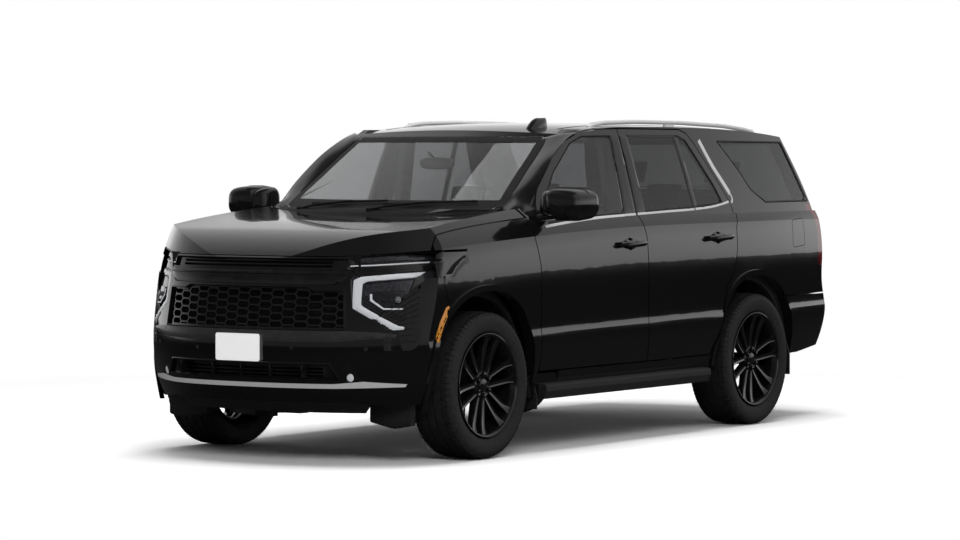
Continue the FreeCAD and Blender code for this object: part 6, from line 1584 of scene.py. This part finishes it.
def world_light(scene):
    """White to the eye and through glass; for light and gloss a sky graded by height, darker in front."""
    scene.world = world = bpy.data.worlds.new("studio")
    world.use_nodes = True
    tree = world.node_tree
    tree.nodes.clear()
    output, mix, ramp = (add_node(tree, kind) for kind in ("OutputWorld", "MixShader", "ValToRGB"))
    seen, light = add_node(tree, "Background", Color=(1, 1, 1, 1)), add_node(tree, "Background")
    path, place, split, either = (add_node(tree, kind)
                                  for kind in ("LightPath", "TexCoord", "SeparateXYZ", "Math"))
    either.operation = "MAXIMUM"
    stops = ramp.color_ramp.elements
    for stop, (height, value) in ((stops[0], SKY_BANDS[0]), (stops[1], SKY_BANDS[-1])):
        stop.position, stop.color = height, (value, value, value, 1)
    for height, value in SKY_BANDS[1:-1]:
        stops.new(height).color = (value, value, value, 1)
    shade = add_node(tree, "MapRange", From_Min=FRONT_SHADE[0], From_Max=FRONT_SHADE[1],
                     To_Min=FRONT_SHADE[2])
    wire(tree, (place, "Generated", split, "Vector"), (split, "Z", ramp, "Fac"), (split, "Y", shade, "Value"),
         (shade, "Result", light, "Strength"), (ramp, "Color", light, "Color"),
         (path, "Is Camera Ray", either, 0), (path, "Is Transmission Ray", either, 1),
         (either, "Value", mix, "Fac"), (light, "Background", mix, 1), (seen, "Background", mix, 2),
         (mix, "Shader", output, "Surface"))


def area_light(name, place, aim, size_x, size_y, power):
    data = bpy.data.lights.new(name, "AREA")
    data.shape = "RECTANGLE"
    data.size, data.size_y, data.energy = size_x, size_y, power
    lamp = linked(name, data)
    lamp.location = place
    lamp.rotation_euler = (Vector(aim) - Vector(place)).to_track_quat("-Z", "Y").to_euler()
    lamp.visible_glossy = False


def colour_mix(tree, **values):
    node = tree.nodes.new("ShaderNodeMix")
    node.data_type = "RGBA"
    set_sockets(node, **values)
    return node


def floor_finish():
    """A pale floor that shows white to the camera where nothing shades it."""
    material, tree, shader = new_material("pale_floor")
    output = tree.nodes["Material Output"]
    set_sockets(shader, Roughness=1.0, Specular_IOR_Level=0.0)
    place, path, glow = (add_node(tree, kind) for kind in ("TexCoord", "LightPath", "Emission"))
    span, both, blend = (add_node(tree, kind) for kind in ("VectorMath", "Math", "MixShader"))
    span.operation, both.operation = "LENGTH", "MULTIPLY"
    far = add_node(tree, "MapRange", From_Min=FLOOR_FADE[0], From_Max=FLOOR_FADE[1])
    mix = colour_mix(tree, A=FLOOR_GREY, B=FLOOR_SEEN)
    dim = colour_mix(tree, B=FLOOR_GLOSS)
    wire(tree, (path, "Is Camera Ray", mix, "Factor"), (mix, "Result", dim, "A"),
         (path, "Is Glossy Ray", dim, "Factor"), (dim, "Result", shader, "Base Color"),
         (place, "Object", span, 0), (span, "Value", far, "Value"), (far, "Result", both, 0),
         (path, "Is Camera Ray", both, 1), (both, "Value", blend, "Fac"), (shader, "BSDF", blend, 1),
         (glow, "Emission", blend, 2), (blend, "Shader", output, "Surface"))
    return material


SENSOR_MM, VIEW_DEPTH = 36.0, 500
LIGHTS = (("overhead", (0, 0, 7.5), (0, 0, 0), 5.0, 8.0, 500),
          ("key", (6.0, -8.0, 5.0), (0, -1, 0.8), 4.0, 3.0, 240))


class SUV_OT_stage(bpy.types.Operator):
    """Set up the camera, the floor and the light"""

    bl_idname = "suv.stage"
    bl_label = "Stage"

    def execute(self, context):
        stage = context.scene.suv_stage
        scene = context.scene
        data = bpy.data.cameras.new("camera")
        data.lens, data.sensor_width = stage.lens, SENSOR_MM
        data.clip_end = VIEW_DEPTH
        camera = linked("camera", data)
        camera.location = stage.camera_place
        camera.rotation_euler = (math.pi / 2 - stage.camera_dip, 0, stage.camera_yaw)
        scene.camera = camera
        half = stage.floor_size
        mesh = bpy.data.meshes.new("floor")
        mesh.from_pydata([(-half, -half, 0), (half, -half, 0), (half, half, 0), (-half, half, 0)], [],
                         [(0, 1, 2, 3)])
        floor = linked("floor", mesh)
        mesh.materials.append(floor_finish())
        world_light(scene)
        for light in LIGHTS:
            area_light(*light)
        scene.view_settings.view_transform = "Standard"
        return {"FINISHED"}


class SUV_PT_panel(bpy.types.Panel):
    """The pieces of the suv in the sidebar"""

    bl_label = "Suv"
    bl_idname = "SUV_PT_panel"
    bl_space_type = "VIEW_3D"
    bl_region_type = "UI"
    bl_category = "Suv"

    def draw(self, context):
        for name in GROUPS:
            group = getattr(context.scene, name)
            for label in group.__annotations__:
                self.layout.prop(group, label)
        for operator in OPERATORS:
            self.layout.operator(operator.bl_idname)


OPERATORS = [SUV_OT_finishes, SUV_OT_tyres, SUV_OT_wheels, SUV_OT_headlamps, SUV_OT_front_bars,
             SUV_OT_side_trim, SUV_OT_arches, SUV_OT_handles, SUV_OT_mirrors, SUV_OT_roof,
             SUV_OT_screen_fittings, SUV_OT_rear_trim, SUV_OT_seats, SUV_OT_cabin, SUV_OT_stage]
GROUPS = {"suv_looks": SuvLooks, "suv_tyres": SuvTyres, "suv_wheels": SuvWheels, "suv_lamps": SuvLamps,
          "suv_trim": SuvTrim, "suv_seats": SuvSeats, "suv_stage": SuvStage}
CLASSES = [*GROUPS.values(), *OPERATORS, SUV_PT_panel]


def register():
    for item in CLASSES:
        bpy.utils.register_class(item)
    for name, group in GROUPS.items():
        setattr(bpy.types.Scene, name, PointerProperty(type=group))


def unregister():
    for name in GROUPS:
        delattr(bpy.types.Scene, name)
    for item in reversed(CLASSES):
        bpy.utils.unregister_class(item)


def main():
    register()
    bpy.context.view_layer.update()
    for operator in OPERATORS:
        group, name = operator.bl_idname.split(".")
        getattr(getattr(bpy.ops, group), name)()


if __name__ == "__main__":
    main()
